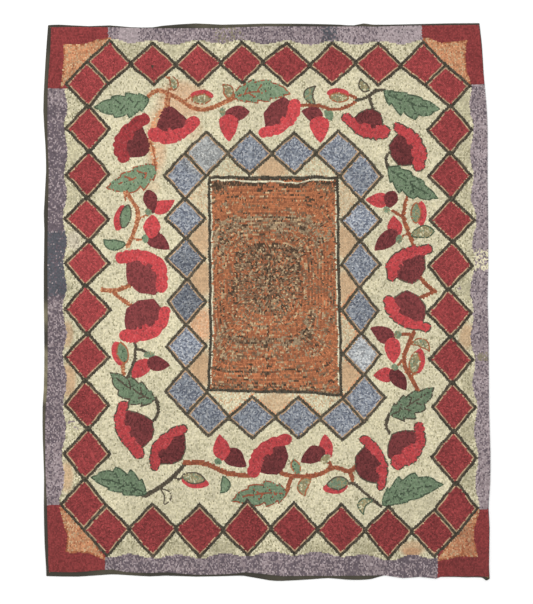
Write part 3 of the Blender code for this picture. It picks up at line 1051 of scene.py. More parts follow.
def rim_lines():
    """Where the pile's rim stands on each side: the CAD rug's ring at that height, cut
    at its four corners."""
    points = node_points("hooked_rug", RIM_LEVEL)
    points = points[np.argsort(np.arctan2(points[:, 1], points[:, 0]))]
    ends = [np.argmax(points @ way) for way in ((-1, -1), (1, -1), (1, 1), (-1, 1))]
    runs = {}
    for side, first, last in zip(("bottom", "right", "top", "left"), ends, ends[1:] + ends[:1]):
        count = (last - first) % len(points)
        run = points[(first + np.arange(count + 1)) % len(points)]
        axis = axis_of(side)
        run = run[np.argsort(run[:, axis])]
        runs[side] = SideLine(run[:, axis], run[:, 1 - axis])
    return runs


def inside_rim(points, rim):
    """How far each point lies inside each side of the pile's rim."""
    x, y = points[:, 0], points[:, 1]
    return {
        "top": np.interp(x, *rim["top"]) - y,
        "bottom": y - np.interp(x, *rim["bottom"]),
        "left": x - np.interp(y, *rim["left"]),
        "right": np.interp(y, *rim["right"]) - x,
    }


class LoopBoard:
    """The loops laid so far, on a board of small cells that keeps them apart."""

    CELL = 2.8

    def __init__(self, low, high):
        self.low = np.array(low) - 6 * self.CELL
        self.shape = np.ceil((np.array(high) - self.low) / self.CELL).astype(int) + 6
        self.cells = np.full(self.shape, -1, np.int32)
        self.points = np.empty((0, 2))
        self.rows = np.empty(0, int)
        self.places = np.empty(0)
        self.row_count = 0

    def lay(self, points, places, gap, rows=None):
        """Adds the points that are at least a gap away from all that lie there."""
        cell = ((points - self.low) / self.CELL).astype(int)
        on_board = ((cell >= 3) & (cell < self.shape - 3)).all(1)
        points, places, cell = points[on_board], places[on_board], cell[on_board]
        rows = np.zeros(len(points), int) if rows is None else rows[on_board]
        free = np.ones(len(points), bool)
        for i in (-2, -1, 0, 1, 2):
            for j in (-2, -1, 0, 1, 2):
                other = self.cells[cell[:, 0] + i, cell[:, 1] + j]
                taken = other >= 0
                if len(self.points):
                    gap_to = np.hypot(*(points - self.points[np.maximum(other, 0)]).T)
                    free &= ~(taken & (gap_to < gap))
        _, first = np.unique(cell[:, 0] * self.shape[1] + cell[:, 1], return_index=True)
        alone = np.zeros(len(points), bool)
        alone[first] = True
        free &= alone
        number = len(self.points) + np.arange(free.sum())
        self.cells[cell[free, 0], cell[free, 1]] = number
        self.points = np.vstack([self.points, points[free]])
        self.rows = np.concatenate([self.rows, rows[free] + self.row_count])
        self.places = np.concatenate([self.places, places[free]])
        self.row_count += (rows.max() + 1) if len(rows) else 1

    def lay_line(self, line, pitch, gap):
        """Lays loops along a drawn line, as far off it as the maker's hand strays."""
        points, places = beads(line, pitch)
        self.lay(points - hand_drift(points), places, gap)

    def lay_rows(self, low, high, pitch, loop_pitch, gap, keep=None):
        """Straight rows over a box, every other one half a loop along, with the loops
        a little out of line."""
        ys = np.arange(low[1], high[1], pitch)
        xs = np.arange(low[0], high[0], loop_pitch)
        row = np.repeat(np.arange(len(ys)), len(xs))
        level = np.repeat(ys, len(xs))
        x = np.tile(xs, len(ys)) + (row % 2) * loop_pitch / 2
        y = level + 1.6 * waves(x, level, 60, 31)
        x = x + 0.9 * (hashed(np.arange(len(x)), row, 32) - 0.5)
        y = y + 0.9 * (hashed(np.arange(len(x)), row, 33) - 0.5)
        points = np.column_stack([x, y])
        if keep is not None:
            kept = keep(points)
            points, row, x = points[kept], row[kept], x[kept]
        self.lay(points, points[:, 0], gap, row)

    def loop_near(self, points):
        """A loop close to each point, or -1 where none lies within two cells."""
        cell = np.clip(((points - self.low) / self.CELL).astype(int), 3, self.shape - 4)
        loop = np.full(len(points), -1)
        for i in (0, 1, -1, 2, -2):
            for j in (0, 1, -1, 2, -2):
                found = self.cells[cell[:, 0] + i, cell[:, 1] + j]
                loop = np.where(loop < 0, found, loop)
        return loop


def field_outline():
    """The frame of the middle field, along the middle of its dark line."""
    return inset(drawn(MIDDLE_FIELD), 1.0)


def cream_line():
    """The cream line at the top of the middle field."""
    return smoothed(np.array(CREAM_LINE, float))


def field_reach(points):
    """Which ring of rows of the middle field a point lies on: how far out it is, by a
    norm that turns from an oval's into a rounded box's."""
    x = np.abs(points[:, 0] - MIDDLE_X) + 1e-6
    y = np.abs(points[:, 1] - MIDDLE_Y) * MIDDLE_SQUASH + 1e-6
    plain = np.hypot(x, y)
    power = 2 + 3.2 * smooth_step(60, 260, plain)
    return (x**power + y**power) ** (1 / power)


def field_ring(reach):
    """One closed row of the middle field: for each way round, its reach is found by a
    few steps from a circle."""
    way = np.linspace(-np.pi, np.pi, 240)
    out = np.column_stack([np.cos(way), np.sin(way) / MIDDLE_SQUASH])
    radius = np.full(len(way), reach, float)
    for _ in range(6):
        points = out * radius[:, None] + (MIDDLE_X, MIDDLE_Y)
        radius *= reach / field_reach(points)
    return out * radius[:, None] + (MIDDLE_X, MIDDLE_Y)


Shape = namedtuple("Shape", "outline wool edge tone")


def motif_shapes():
    """Every bud, curl and leaf, in the order in which they cover each other."""
    made = []
    for bud in BUDS:
        red = oval(bud.x + bud.shift_x, bud.y + bud.shift_y, 1.12 * bud.long, bud.wide, bud.turn)
        made.append(Shape(red, "petal", "", -2))
        pod = oval(bud.x, bud.y, bud.long, bud.wide, bud.turn)
        made.append(Shape(pod, bud.wool, bud.edge, 0))
    for blade in CURLS + OPENING_BUDS + LEAVES:
        made.append(Shape(blade_outline(blade), blade.wool, blade.edge, blade.tone))
    return made


def flower_shapes():
    """Each flower, its cup and its lip."""
    return [
        (flower, cup_outline(flower), lip_outline(flower, seed))
        for seed, flower in enumerate(FLOWERS)
    ]


def lay_design(sizes, rim):
    """Lays every loop of the pile: first along the design's lines, then in rows."""
    low = (rim["left"].across.min(), rim["bottom"].across.min())
    high = (rim["right"].across.max(), rim["top"].across.max())
    pitch, step = sizes.row_pitch / MM, sizes.loop_pitch / MM
    wide_pitch = sizes.centre_row_pitch / MM
    gap = LOOP_GAP * step
    board = LoopBoard(low, high)
    corners = closed_rim(rim)
    board.lay(*beads(inset(corners, 3.0), step), gap)
    board.lay(*beads(inset(corners, 3.0 + pitch), step), gap)
    half = sizes.outline_width / MM / 2
    first_row = half + sizes.thread_width / MM / 2
    ring_squares = [square for ring in (BLUE_RING, RED_RING) for square, _ in squares(ring)]
    field = field_outline()
    board.lay_line(cream_line(), step, gap)
    # The rows of a dark line are hooked closer together than those of a plain part
    for shape in [field] + ring_squares:
        for depth in (half / 2, -half / 2, first_row):
            board.lay_line(closed(inset(shape, depth)), step, gap)
    for stem, line in stem_lines():
        shifts = (0,)
        if stem.wide > 10:
            shifts = np.arange(-stem.wide / 2 + 2.6, stem.wide / 2 - 2.5, pitch)
        for shift in shifts:
            board.lay_line(offset_line(line, shift), step, gap)
    flowers = flower_shapes()
    motifs = [lip for _, _, lip in flowers] + [cup for _, cup, _ in flowers]
    motifs += [shape.outline for shape in motif_shapes()[::-1]]
    for leaf in LEAVES:
        for line in leaf_veins(leaf):
            board.lay_line(line, step, gap)
    # A row inside the edge of every motif, then one outside it, then a second inside
    for depth in (2.4, -2.9, 2.4 + pitch):
        for outline in motifs:
            board.lay_line(closed(inset(outline, depth)), step, gap)
    for square in ring_squares:
        for depth in np.arange(first_row + 4.6, 46, pitch):
            board.lay_line(closed(inset(square, depth)), step, gap)
    inner = inset(field, first_row + 0.6 * pitch)
    for reach in np.arange(wide_pitch / 2, 470, wide_pitch):
        points, places = beads(field_ring(reach), step)
        kept = depth_in(points, inner) > 0
        board.lay(points[kept] - hand_drift(points[kept]), places[kept], 0.92 * gap)
    for arm in RED_ARMS:
        board.lay_line(closed(inset(drawn(arm.peach), 2.6)), step, gap)
    # The rows that fill the rest, and a second set that fills the holes they leave
    for shift, looser in ((0.0, 1.0), (0.5, 1.06)):
        board.lay_rows(
            np.array(low) + shift * step, high, pitch, step, gap * looser,
            keep=lambda p: np.min(list(inside_rim(p, rim).values()), axis=0) > 4.0,
        )
    return board


def closed_rim(rim):
    """The four sides of the rim as one counter-clockwise polygon."""
    bottom = np.column_stack([rim["bottom"].along, rim["bottom"].across])
    right = np.column_stack([rim["right"].across, rim["right"].along])
    top = np.column_stack([rim["top"].along, rim["top"].across])[::-1]
    left = np.column_stack([rim["left"].across, rim["left"].along])[::-1]
    return np.vstack([bottom, right[1:], top[1:], left[1:-1]])


class Colouring:
    """Which wool, dye and lightness each loop has."""

    def __init__(self, board):
        # Where each loop lies in the drawn design, and where it lies on the rug
        self.points = board.points + hand_drift(board.points)
        self.real = board.points
        self.rows, self.places = board.rows, board.places
        count = len(board.points)
        self.wool = np.zeros(count, int)
        self.edge = np.full(count, "", dtype="U10")
        self.tone = np.zeros(count)

    def put(self, where, wool, edge="", tone=None):
        """Gives some loops a wool, the dye of an edge or none, and a tone."""
        self.wool[where] = WOOL_NUMBER[wool]
        self.edge[where] = edge
        if tone is not None:
            self.tone[where] = tone


def border_line(side, along):
    """Where the mauve ends: it touches the squares' points, and dips between them."""
    scallop = SCALLOPS[side]
    links = scallop.ring_side
    knots = sorted(((a.along + b.along) / 2, a.outer) for a, b in zip(links, links[1:]))
    places, reach = np.array(knots).T
    order = np.interp(along, places, np.arange(len(places)), left=0, right=len(places) - 1)
    dip = scallop.dip * np.sin(np.pi * (order % 1)) ** 2
    return np.interp(along, places, reach) + scallop.lift - sign_of(side) * dip


def paint_border(c):
    """Covers what lies beyond the border's line with mauve, then each corner with its
    red arms and its peach piece."""
    x, y = c.points.T
    beyond = {
        "top": y - border_line("top", x),
        "bottom": border_line("bottom", x) - y,
        "left": border_line("left", y) - x,
        "right": x - border_line("right", y),
    }
    past = np.max(list(beyond.values()), axis=0)
    c.put(past > 0, "border")
    c.edge[(past < 0) & (past > -4.6) & (hashed(np.arange(len(past)), 3) < 0.5)] = "olive"
    for arm in RED_ARMS:
        box = ((x - arm.end_x) * arm.sign_x > 0) & ((y - arm.end_y) * arm.sign_y > 0)
        c.put(box, "corner")
        peach = drawn(arm.peach)
        some = near(c.points, peach, 2)
        depth = depth_in(c.points[some], peach)
        c.put(some[depth > 0], "peach piece")
        c.edge[some[(depth > 0) & (depth < 4.6) & (hashed(some, 5) < 0.6)]] = "stem"


def paint_squares(c, sizes):
    """Covers the middle field and the squares of both rings, each with a light line
    inside its edge, then the cream line, then all the dark outlines."""
    half = sizes.outline_width / MM / 2
    line_to = half + sizes.thread_width / MM
    field = field_outline()
    shapes = [(field, "middle field", 0, 0)]
    for ring in (RED_RING, BLUE_RING):
        shapes += [(square, ring.field, tone / 100, ring.dark) for square, tone in squares(ring)]
    outlines = []
    for shape, wool, tone, dark in shapes:
        some = near(c.points, shape, half)
        depth = depth_in(c.points[some], shape)
        c.put(some[depth > half], wool, tone=tone)
        in_field = shape is field
        share = 0.82 if in_field else 0.86
        line = (depth > half) & (depth < line_to) & (hashed(some, 6) < share)
        if in_field:
            # Its light line runs along its two long sides only
            line &= np.abs(c.points[some, 1] - 70) < 402
        c.put(some[line], "light line", "cream" if in_field else "", 0)
        outlines.append((some[np.abs(depth) <= half], dark))
    cream = cream_line()
    some = near(c.points, cream, 3)
    away = from_spots(c.points[some], beads(cream, 2)[0])
    c.put(some[away < 2.6], "light line", "cream", 0)
    for some, dark in outlines:
        c.put(some, "outline", tone=dark)


def paint_shape(c, shape):
    """Covers a shape with its wool, and its outermost loops with its edge's dye."""
    some = near(c.points, shape.outline, 2)
    depth = depth_in(c.points[some], shape.outline)
    c.put(some[depth > 0], shape.wool, tone=shape.tone / 100)
    if shape.edge:
        small = np.ptp(shape.outline, axis=0).max() < 110
        rim = (depth > 0) & (depth < 4.8) & (hashed(some, 8) < (0.9 if small else 0.75))
        c.edge[some[rim]] = shape.edge


def paint_flowers(c):
    """Covers the stems, then the motifs, the flowers and last the leaves' veins."""
    for stem, line in stem_lines():
        some = near(c.points, line, stem.wide)
        away = from_edges(c.points[some], line[:-1], line[1:])
        c.put(some[away < stem.wide / 2], stem.wool, tone=0)
    for shape in motif_shapes():
        paint_shape(c, shape)
    for flower, cup, lip in flower_shapes():
        paint_shape(c, Shape(cup, "throat", "", flower.maroon))
        paint_shape(c, Shape(lip, "petal", "", flower.red))
        if flower.edged:
            some = near(c.points, np.vstack([cup, lip]), 2)
            depth = np.maximum(depth_in(c.points[some], cup), depth_in(c.points[some], lip))
            c.edge[some[(depth > 0) & (depth < 4.2) & (hashed(some, 4) < 0.75)]] = "stem_dark"
    for leaf in LEAVES:
        for line in leaf_veins(leaf):
            some = near(c.points, line, 3)
            away = from_spots(c.points[some], line)
            c.edge[some[(away < 2.4) & (hashed(some, 9) < 0.88)]] = leaf.edge


def paint_grounds(c, sizes):
    """The ground outside the red squares and inside the blue ones has its own wools."""
    ground = c.wool == WOOL_NUMBER["ground"]
    c.put(ground & (out_of_box(c.points, RED_RING_BOX) > 1), "outer ground", tone=0)
    c.put(ground & (out_of_box(c.points, BLUE_RING_BOX) < 1), "inner ground", tone=0)
    counts = [len(getattr(BLUE_RING, side)) - 1 for side in SIDES]
    first = dict(zip(SIDES, np.cumsum([0] + counts)))
    ring = squares(BLUE_RING)
    half = sizes.outline_width / MM / 2
    for side, place in TRIMMED:
        square = ring[first[side] + place][0]
        some = near(c.points, square, half + 6)
        depth = depth_in(c.points[some], square)
        trim = (c.wool[some] == WOOL_NUMBER["inner ground"]) & (depth > -half - 5)
        c.edge[some[trim & (hashed(some, 10) < 0.75)]] = "haze"


def paint(board, sizes):
    """Gives each loop its wool, by covering one part of the design with the next."""
    c = Colouring(board)
    paint_flowers(c)
    paint_border(c)
    paint_squares(c, sizes)
    paint_grounds(c, sizes)
    return c


def mixed_dyes(c, dyes):
    """Each loop's colour: which of its wool's dyes it has, by a draw for its stretch of
    the row or one of its own, then its lightness."""
    own = np.arange(len(c.wool))
    stretch = np.floor(c.places / STRAND_LENGTH + 7 * hashed(c.rows, 21)).astype(int)
    by_strand = hashed(c.rows, stretch, 22)
    strand = np.array([wool.strand for wool in WOOLS])[c.wool]
    strips = c.wool == WOOL_NUMBER["middle field"]
    # The strands are finer in the middle of the field
    finer = 0.35 + 0.65 * smooth_step(80, 150, field_reach(c.points))
    strand = strand * np.where(strips, finer, 1)
    draw = np.where(hashed(own, 24) < strand, by_strand, hashed(own, 23))
    table = {name: np.array(getattr(dyes, name)) for name in RugDyes.__annotations__}
    colour = np.zeros((len(own), 3))
    for number, wool in enumerate(WOOLS):
        mine = np.flatnonzero(c.wool == number)
        if wool.shares:
            bounds = np.broadcast_to(np.cumsum(wool.shares), (len(mine), len(wool.shares)))
        else:
            bounds = band_shares(c, mine)
        picked = (draw[mine][:, None] > bounds[:, :-1]).sum(1)
        colour[mine] = np.array([table[name] for name in wool.dyes])[picked]
    tint_stretches(c, colour, table)
    pale_parts = ("ground", "outer ground", "inner ground", "peach piece")
    tint_patches(c, colour, table, PATCHES, pale_parts, bled=True)
    tint_patches(c, colour, table, FIELD_PATCHES_AND_CREASE_SHADE, ("middle field",))
    tint_patches(c, colour, table, SQUARE_PATCHES, ("blue square", "corner"), bled=True)
    tint_patches(c, colour, table, MARKS, WOOL_NUMBER)
    for name in set(c.edge) - {""}:
        colour[c.edge == name] = table[name]
    spread = np.array([wool.spread for wool in WOOLS])[c.wool]
    fade = 1 + c.tone + 0.03 * waves(*c.real.T, 210, 41) + 0.04 * waves(*c.real.T, 55, 42)
    fade = fade + 1.6 * spread * (2 * hashed(own, 25) - 1) + 0.5 * spread * (2 * by_strand - 1)
    by_row = 0.07 * (2 * hashed(c.rows, 27) - 1) + 0.1 * (1 - 2 * (c.rows % 2))
    fade = fade + strips * by_row * (0.7 + 0.6 * waves(*c.real.T, 90, 43))
    return np.clip(colour * (np.maximum(fade, 0.05) ** 1.6)[:, None], 0, 1)


def band_shares(c, mine):
    """Running shares of the middle field's dyes at each of its loops: three tables of
    bands, blended by the way that the loop lies from the middle."""
    points = c.points[mine]
    out = field_reach(points) + 8 * waves(*points.T, 70, 51)
    x, y = (points - (MIDDLE_X, MIDDLE_Y)).T
    up = y / np.maximum(np.hypot(x, y), 1)
    above, below = smooth_step(0.3, 0.75, up), smooth_step(0.3, 0.75, -up)
    weights = (above, 1 - above - below, below)
    mixed = 0
    for weight, bands in zip(weights, (BANDS_ABOVE, BANDS_BESIDE, BANDS_BELOW)):
        table = np.array(bands)
        shares = [np.interp(out, table[:, 0], table[:, k]) for k in range(1, table.shape[1])]
        mixed = mixed + weight[:, None] * np.column_stack(shares)
    running = np.cumsum(mixed, axis=1)
    return running / running[:, -1:]


def tint_stretches(c, colour, table):
    """Works another wool into each stretch of the border, loop by loop."""
    x, y = c.points.T
    border = c.wool == WOOL_NUMBER["border"]
    on_side = {
        "top": border & (y > 1000),
        "bottom": border & (y < -990),
        "left": border & (x < -790) & (np.abs(y) < 1000),
        "right": border & (x > 800) & (np.abs(y) < 1000),
    }
    for number, s in enumerate(STRETCHES):
        soft = soft_span(s.start, s.end, 12, c.points[:, axis_of(s.side)])
        chosen = on_side[s.side] & (hashed(np.arange(len(x)), 61, number) < soft * s.share)
        colour[chosen] = table[s.dye]


def tint_patches(c, colour, table, patches, wools, bled=False):
    """Works a dye in among the loops round each patch's middle, or lets it bleed."""
    x, y = c.points.T
    among = np.isin(c.wool, [WOOL_NUMBER[name] for name in wools])
    for number, p in enumerate(patches):
        out = np.hypot((x - p.x) / p.half_x, (y - p.y) / p.half_y)
        share = p.share * (1 - smooth_step(0.55, 1.15, out))
        if bled:
            colour += (among * share)[:, None] * (table[p.dye] - colour)
        else:
            colour[among & (hashed(np.arange(len(x)), 71, number) < share)] = table[p.dye]


def piece_of(c):
    """Which pile each loop belongs to. A dark or pale line goes with what it edges."""
    names = np.array([PIECES.index(w.piece) if w.piece in PIECES else -1 for w in WOOLS])
    piece = names[c.wool]
    within = out_of_box(c.real, BETWEEN_RINGS_BOX) < 1
    edged = np.where(within, PIECES.index("pile_blue_squares"), PIECES.index("pile_red_squares"))
    return np.where(piece < 0, edged, piece)


def loop_mosaic(points, ghosts, tops, sizes):
    """The faces of the mosaic. Triangles are drawn between neighbouring loops; each
    triangle's middle is a low point, and a loop's dome is a fan from its own top round
    the low points about it. Returns vertices and faces, each face with its loop."""
    every = np.vstack([points, ghosts])
    centre = [Vector(p) for p in every.tolist()]
    triangles = np.array(geometry.delaunay_2d_cdt(centre, [], [], 0, 1e-7)[2], np.int64)
    count = len(points)
    triangles = triangles[(triangles < count).any(1)]
    spots = every[triangles]
    middle = spots.mean(1)
    away = np.hypot(*(spots - middle[:, None]).transpose(2, 0, 1)).mean(1)
    real = np.minimum(triangles, count - 1)
    height = tops[real].mean(1) - np.clip(away * 1.1, 0.5, 1.15) * sizes.pile_depth / MM / 1.1
    edge = (triangles >= count).any(1)
    height = np.where(edge, PILE_RIM_LEVEL, height)
    start, end = triangles, np.roll(triangles, -1, 1)
    key = np.minimum(start, end) * len(every) + np.maximum(start, end)
    order = np.argsort(key.ravel(), kind="stable")
    same = np.flatnonzero(key.ravel()[order][1:] == key.ravel()[order][:-1])
    one, other = order[same], order[same + 1]
    faces, owners = [], []
    for here, there in ((one, other), (other, one)):
        tri, k = here // 3, here % 3
        tri_2, k_2 = there // 3, (there % 3 + 1) % 3
        loop = triangles[tri, k]
        kept = loop < count
        faces.append(
            np.column_stack([loop, count + 3 * tri_2 + k_2, count + 3 * tri + k])[kept]
        )
        owners.append(loop[kept])
    rim_vertices = np.column_stack([np.repeat(middle, 3, axis=0), np.repeat(height, 3)])
    vertices = np.vstack([np.column_stack([points, tops]), rim_vertices])
    return vertices, np.vstack(faces), np.concatenate(owners)


def new_mesh_object(name, vertices, faces, smooth=True):
    """An object whose mesh has these vertices, given in millimetres, and faces of three
    or four corners."""
    mesh = bpy.data.meshes.new(name)
    mesh.vertices.add(len(vertices))
    mesh.vertices.foreach_set("co", (np.asarray(vertices) * MM).astype(np.float32).ravel())
    corners = faces.shape[1]
    mesh.loops.add(faces.size)
    mesh.loops.foreach_set("vertex_index", faces.astype(np.int32).ravel())
    mesh.polygons.add(len(faces))
    mesh.polygons.foreach_set("loop_start", np.arange(0, faces.size, corners, dtype=np.int32))
    mesh.update(calc_edges=True)
    mesh.validate()
    if smooth:
        mesh.shade_smooth()
    made = bpy.data.objects.new(name, mesh)
    bpy.context.scene.collection.objects.link(made)
    return made


def add_colours(made, colours):
    """Puts a colour on each vertex, as the attribute that the wool's material reads."""
    layer = made.data.attributes.new("dye", "FLOAT_COLOR", "POINT")
    rgba = np.column_stack([colours, np.ones(len(colours))])
    layer.data.foreach_set("color", rgba.astype(np.float32).ravel())


def add_flat_map(made):
    """A map straight down on the piece, fitted to its own box."""
    mesh = made.data
    flat = mesh_points(mesh)[:, :2]
    flat = 0.002 + 0.996 * (flat - flat.min(0)) / (flat.max(0) - flat.min(0))
    corner = np.empty(len(mesh.loops), np.int32)
    mesh.loops.foreach_get("vertex_index", corner)
    layer = mesh.uv_layers.new(name="OFBake")
    layer.uv.foreach_set("vector", flat[corner].astype(np.float32).ravel())


def add_node(tree, kind, settings=None, inputs=None):
    """Adds a node. settings are its own values; inputs are numbers, or links from other
    nodes' outputs, by socket."""
    node = tree.nodes.new(kind)
    for name, value in (settings or {}).items():
        setattr(node, name, value)
    for socket, value in (inputs or {}).items():
        if isinstance(value, bpy.types.NodeSocket):
            tree.links.new(value, node.inputs[socket])
        else:
            node.inputs[socket].default_value = value
    return node


def new_material(name):
    """A material without nodes, and its tree."""
    material = bpy.data.materials.new(name)
    material.use_nodes = True
    tree = material.node_tree
    tree.nodes.clear()
    return material, tree


def finish_material(tree, inputs):
    """Ends a tree with one shader that has these inputs."""
    shader = add_node(tree, "ShaderNodeBsdfPrincipled", inputs=inputs)
    add_node(tree, "ShaderNodeOutputMaterial", inputs={"Surface": shader.outputs["BSDF"]})


def shaded(tree, colour, texture, span, shades):
    """A colour whose lightness goes from one shade to another over a texture's span."""
    shade = add_node(
        tree, "ShaderNodeMapRange",
        inputs={
            "Value": texture, "From Min": span[0], "From Max": span[1],
            "To Min": shades[0], "To Max": shades[1],
        },
    )
    tinted = add_node(
        tree, "ShaderNodeVectorMath", {"operation": "SCALE"},
        {0: colour, "Scale": shade.outputs["Result"]},
    )
    return tinted.outputs["Vector"]


def raised(tree, texture, strength, height):
    """A surface that a texture raises by up to a height, in millimetres."""
    bump = add_node(
        tree, "ShaderNodeBump",
        inputs={"Height": texture, "Strength": strength, "Distance": height * MM},
    )
    return bump.outputs["Normal"]


def wool_loops():
    """Wool yarn and rag strips, hooked and uncut: matt, hairy, without a shine. The eye
    sees plies about a millimetre wide twist across each loop. The dye that it reads has
    a painted highlight on each loop's top and painted shade in the valleys round it."""
    material, tree = new_material("wool_hooked_loops")
    place = add_node(tree, "ShaderNodeTexCoord").outputs["Object"]
    wool = add_node(tree, "ShaderNodeAttribute", {"attribute_name": "dye"})
    hairs = add_node(
        tree, "ShaderNodeTexNoise",
        inputs={"Vector": place, "Scale": 1 / (1.1 * MM), "Detail": 2.0, "Roughness": 0.6},
    )
    hairy = hairs.outputs["Fac"]
    finish_material(
        tree,
        {
            "Base Color": shaded(tree, wool.outputs["Color"], hairy, (0.3, 0.7), (0.86, 1.12)),
            "Roughness": 0.95, "Specular IOR Level": 0.15,
            "Sheen Weight": 0.12, "Sheen Roughness": 0.6,
            "Normal": raised(tree, hairy, 0.5, 0.5),
        },
    )
    return material


def twill_tape(dyes):
    """Cotton twill tape, woven and worn: matt, with fine slanting ribs, faded to khaki
    where it has been rubbed. Its ribs are 2 mm apart, coarser than real, to show."""
    material, tree = new_material("cotton_twill_tape_worn")
    place = add_node(tree, "ShaderNodeTexCoord").outputs["Object"]
    rib = add_node(
        tree, "ShaderNodeTexWave", {"bands_direction": "DIAGONAL"},
        {"Vector": place, "Scale": 1 / (2.0 * MM) / 6.2, "Distortion": 1.5, "Detail": 1.0},
    )
    patchy = add_node(
        tree, "ShaderNodeTexNoise", inputs={"Vector": place, "Scale": 1 / (38 * MM), "Detail": 3.0}
    )
    worn = add_node(tree, "ShaderNodeAttribute", {"attribute_name": "worn"})
    amount = add_node(
        tree, "ShaderNodeMath", {"operation": "MULTIPLY", "use_clamp": True},
        {0: worn.outputs["Fac"], 1: patchy.outputs["Fac"]},
    )
    amount = add_node(
        tree, "ShaderNodeMath", {"operation": "MULTIPLY_ADD", "use_clamp": True},
        {0: amount.outputs["Value"], 1: 1.5, 2: 0.06},
    )
    cloth = add_node(
        tree, "ShaderNodeMix", {"data_type": "RGBA"},
        {"Factor": amount.outputs["Value"], "A": (*dyes.tape, 1), "B": (*dyes.tape_worn, 1)},
    )
    ribs = rib.outputs["Fac"]
    finish_material(
        tree,
        {
            "Base Color": shaded(tree, cloth.outputs["Result"], ribs, (0.0, 1.0), (0.85, 1.1)),
            "Roughness": 0.9, "Specular IOR Level": 0.2,
            "Normal": raised(tree, ribs, 0.6, 0.25),
        },
    )
    return material


def burlap_back(dyes):
    """Jute burlap, plain woven, with the back of each hooked row showing through it:
    coarse threads about 2 mm apart in both directions, dry and without a shine."""
    material, tree = new_material("jute_burlap_with_stitch_backs")
    place = add_node(tree, "ShaderNodeTexCoord").outputs["Object"]
    wool = add_node(tree, "ShaderNodeAttribute", {"attribute_name": "dye"})
    threads = []
    for direction in ("X", "Y"):
        wave = add_node(
            tree, "ShaderNodeTexWave", {"bands_direction": direction},
            {"Vector": place, "Scale": 1 / (2.4 * MM) / 6.2, "Distortion": 0.8},
        )
        threads.append(wave.outputs["Fac"])
    weave = add_node(tree, "ShaderNodeMath", {"operation": "MULTIPLY"}, {0: threads[0], 1: threads[1]})
    shows = add_node(
        tree, "ShaderNodeMapRange",
        inputs={
            "Value": weave.outputs["Value"], "From Min": 0.1, "From Max": 0.6,
            "To Min": 0.75, "To Max": 0.1,
        },
    )
    cloth = add_node(
        tree, "ShaderNodeMix", {"data_type": "RGBA"},
        {"Factor": shows.outputs["Result"], "A": (*dyes.burlap, 1), "B": wool.outputs["Color"]},
    )
    finish_material(
        tree,
        {
            "Base Color": cloth.outputs["Result"], "Roughness": 0.95, "Specular IOR Level": 0.15,
            "Normal": raised(tree, weave.outputs["Value"], 0.7, 0.6),
        },
    )
    return material


def pile_tops(points):
    """How high each loop's top stands: the pile's level, its gentle swell, a faint fold
    down the middle, and each loop's own difference."""
    x, y = points.T
    swell = 0.45 * waves(x, y, 420, 81) + 0.25 * waves(x, y, 130, 82)
    fold = np.exp(-(((x - 4 - 5 * waves(y, y * 0, 160, 83)) / 7) ** 2))
    fold = fold * (smooth_step(-420, -300, y) - smooth_step(230, 330, y))
    own = 0.7 * (hashed(np.arange(len(x)), 84) - 0.5)
    return PILE_LEVEL + swell - 0.9 * fold + own


def ghost_ring(rim, sizes):
    """Points just outside the rim, where no loop is: they end the outermost domes."""
    ring = closed_rim(rim)
    rows = [inset(ring, -3.2), inset(ring, -9.0)]
    return np.vstack([beads(closed(row), sizes.loop_pitch / MM)[0] for row in rows])


WORK = {}  # what hooked_design has worked out


def hooked_design(scene):
    """The loops and their colours, worked out once."""
    if "design" not in WORK:
        rim = rim_lines()
        board = lay_design(scene.rug_sizes, rim)
        colouring = paint(board, scene.rug_sizes)
        WORK["design"] = (rim, board, colouring, mixed_dyes(colouring, scene.rug_dyes))
    return WORK["design"]


class RUG_OT_pile(bpy.types.Operator):
    """Hook the wool pile, in one piece for each part of the design"""

    bl_idname = "rug.pile"
    bl_label = "Hook the pile"

    def execute(self, context):
        sizes = context.scene.rug_sizes
        rim, board, colouring, colours = hooked_design(context.scene)
        tops = pile_tops(board.points)
        ghosts = ghost_ring(rim, sizes)
        vertices, faces, owners = loop_mosaic(board.points, ghosts, tops, sizes)
        piece = piece_of(colouring)[owners]
        corner_loop = np.zeros(len(vertices), np.int64)
        corner_loop[faces.ravel()] = np.repeat(owners, 3)
        material = wool_loops()
        for number, name in enumerate(PIECES):
            used, renumbered = np.unique(faces[piece == number].ravel(), return_inverse=True)
            made = new_mesh_object(name, vertices[used], renumbered.reshape(-1, 3))
            # Painted highlight on each loop's top, painted shade in its valleys, deeper between rag
            # strips
            valley_painted_shade = RAG_VALLEY_PAINTED_SHADE if name == "pile_middle" else VALLEY_PAINTED_SHADE
            shade = np.where(used < len(board.points), TOP_PAINTED_HIGHLIGHT, valley_painted_shade)
            add_colours(made, colours[corner_loop[used]] * shade[:, None])
            add_flat_map(made)
            made.data.materials.append(material)
            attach(made, "root")
        return {"FINISHED"}


def cloth_outline():
    """The ground cloth's edge on each side: just inside the tape's fold."""
    lines = {}
    for side in SIDES:
        fold = fold_line(side)
        lines[side] = SideLine(fold.along, fold.across - sign_of(side) * CLOTH_WITHIN_FOLD)
    return lines


def spread_sheet(lines, across, along):
    """Points all over a four-sided sheet: each lies its own share of the way from the
    left edge to the right and from the bottom edge to the top, found in a few steps."""
    u, v = np.meshgrid(np.linspace(0, 1, across), np.linspace(0, 1, along))
    x_low, x_high = lines["left"].across.mean(), lines["right"].across.mean()
    y_low, y_high = lines["bottom"].across.mean(), lines["top"].across.mean()
    x, y = x_low + u * (x_high - x_low), y_low + v * (y_high - y_low)
    for _ in range(4):
        left, right = (np.interp(y, *lines[side]) for side in ("left", "right"))
        bottom, top = (np.interp(x, *lines[side]) for side in ("bottom", "top"))
        x, y = left + u * (right - left), bottom + v * (top - bottom)
    return x, y


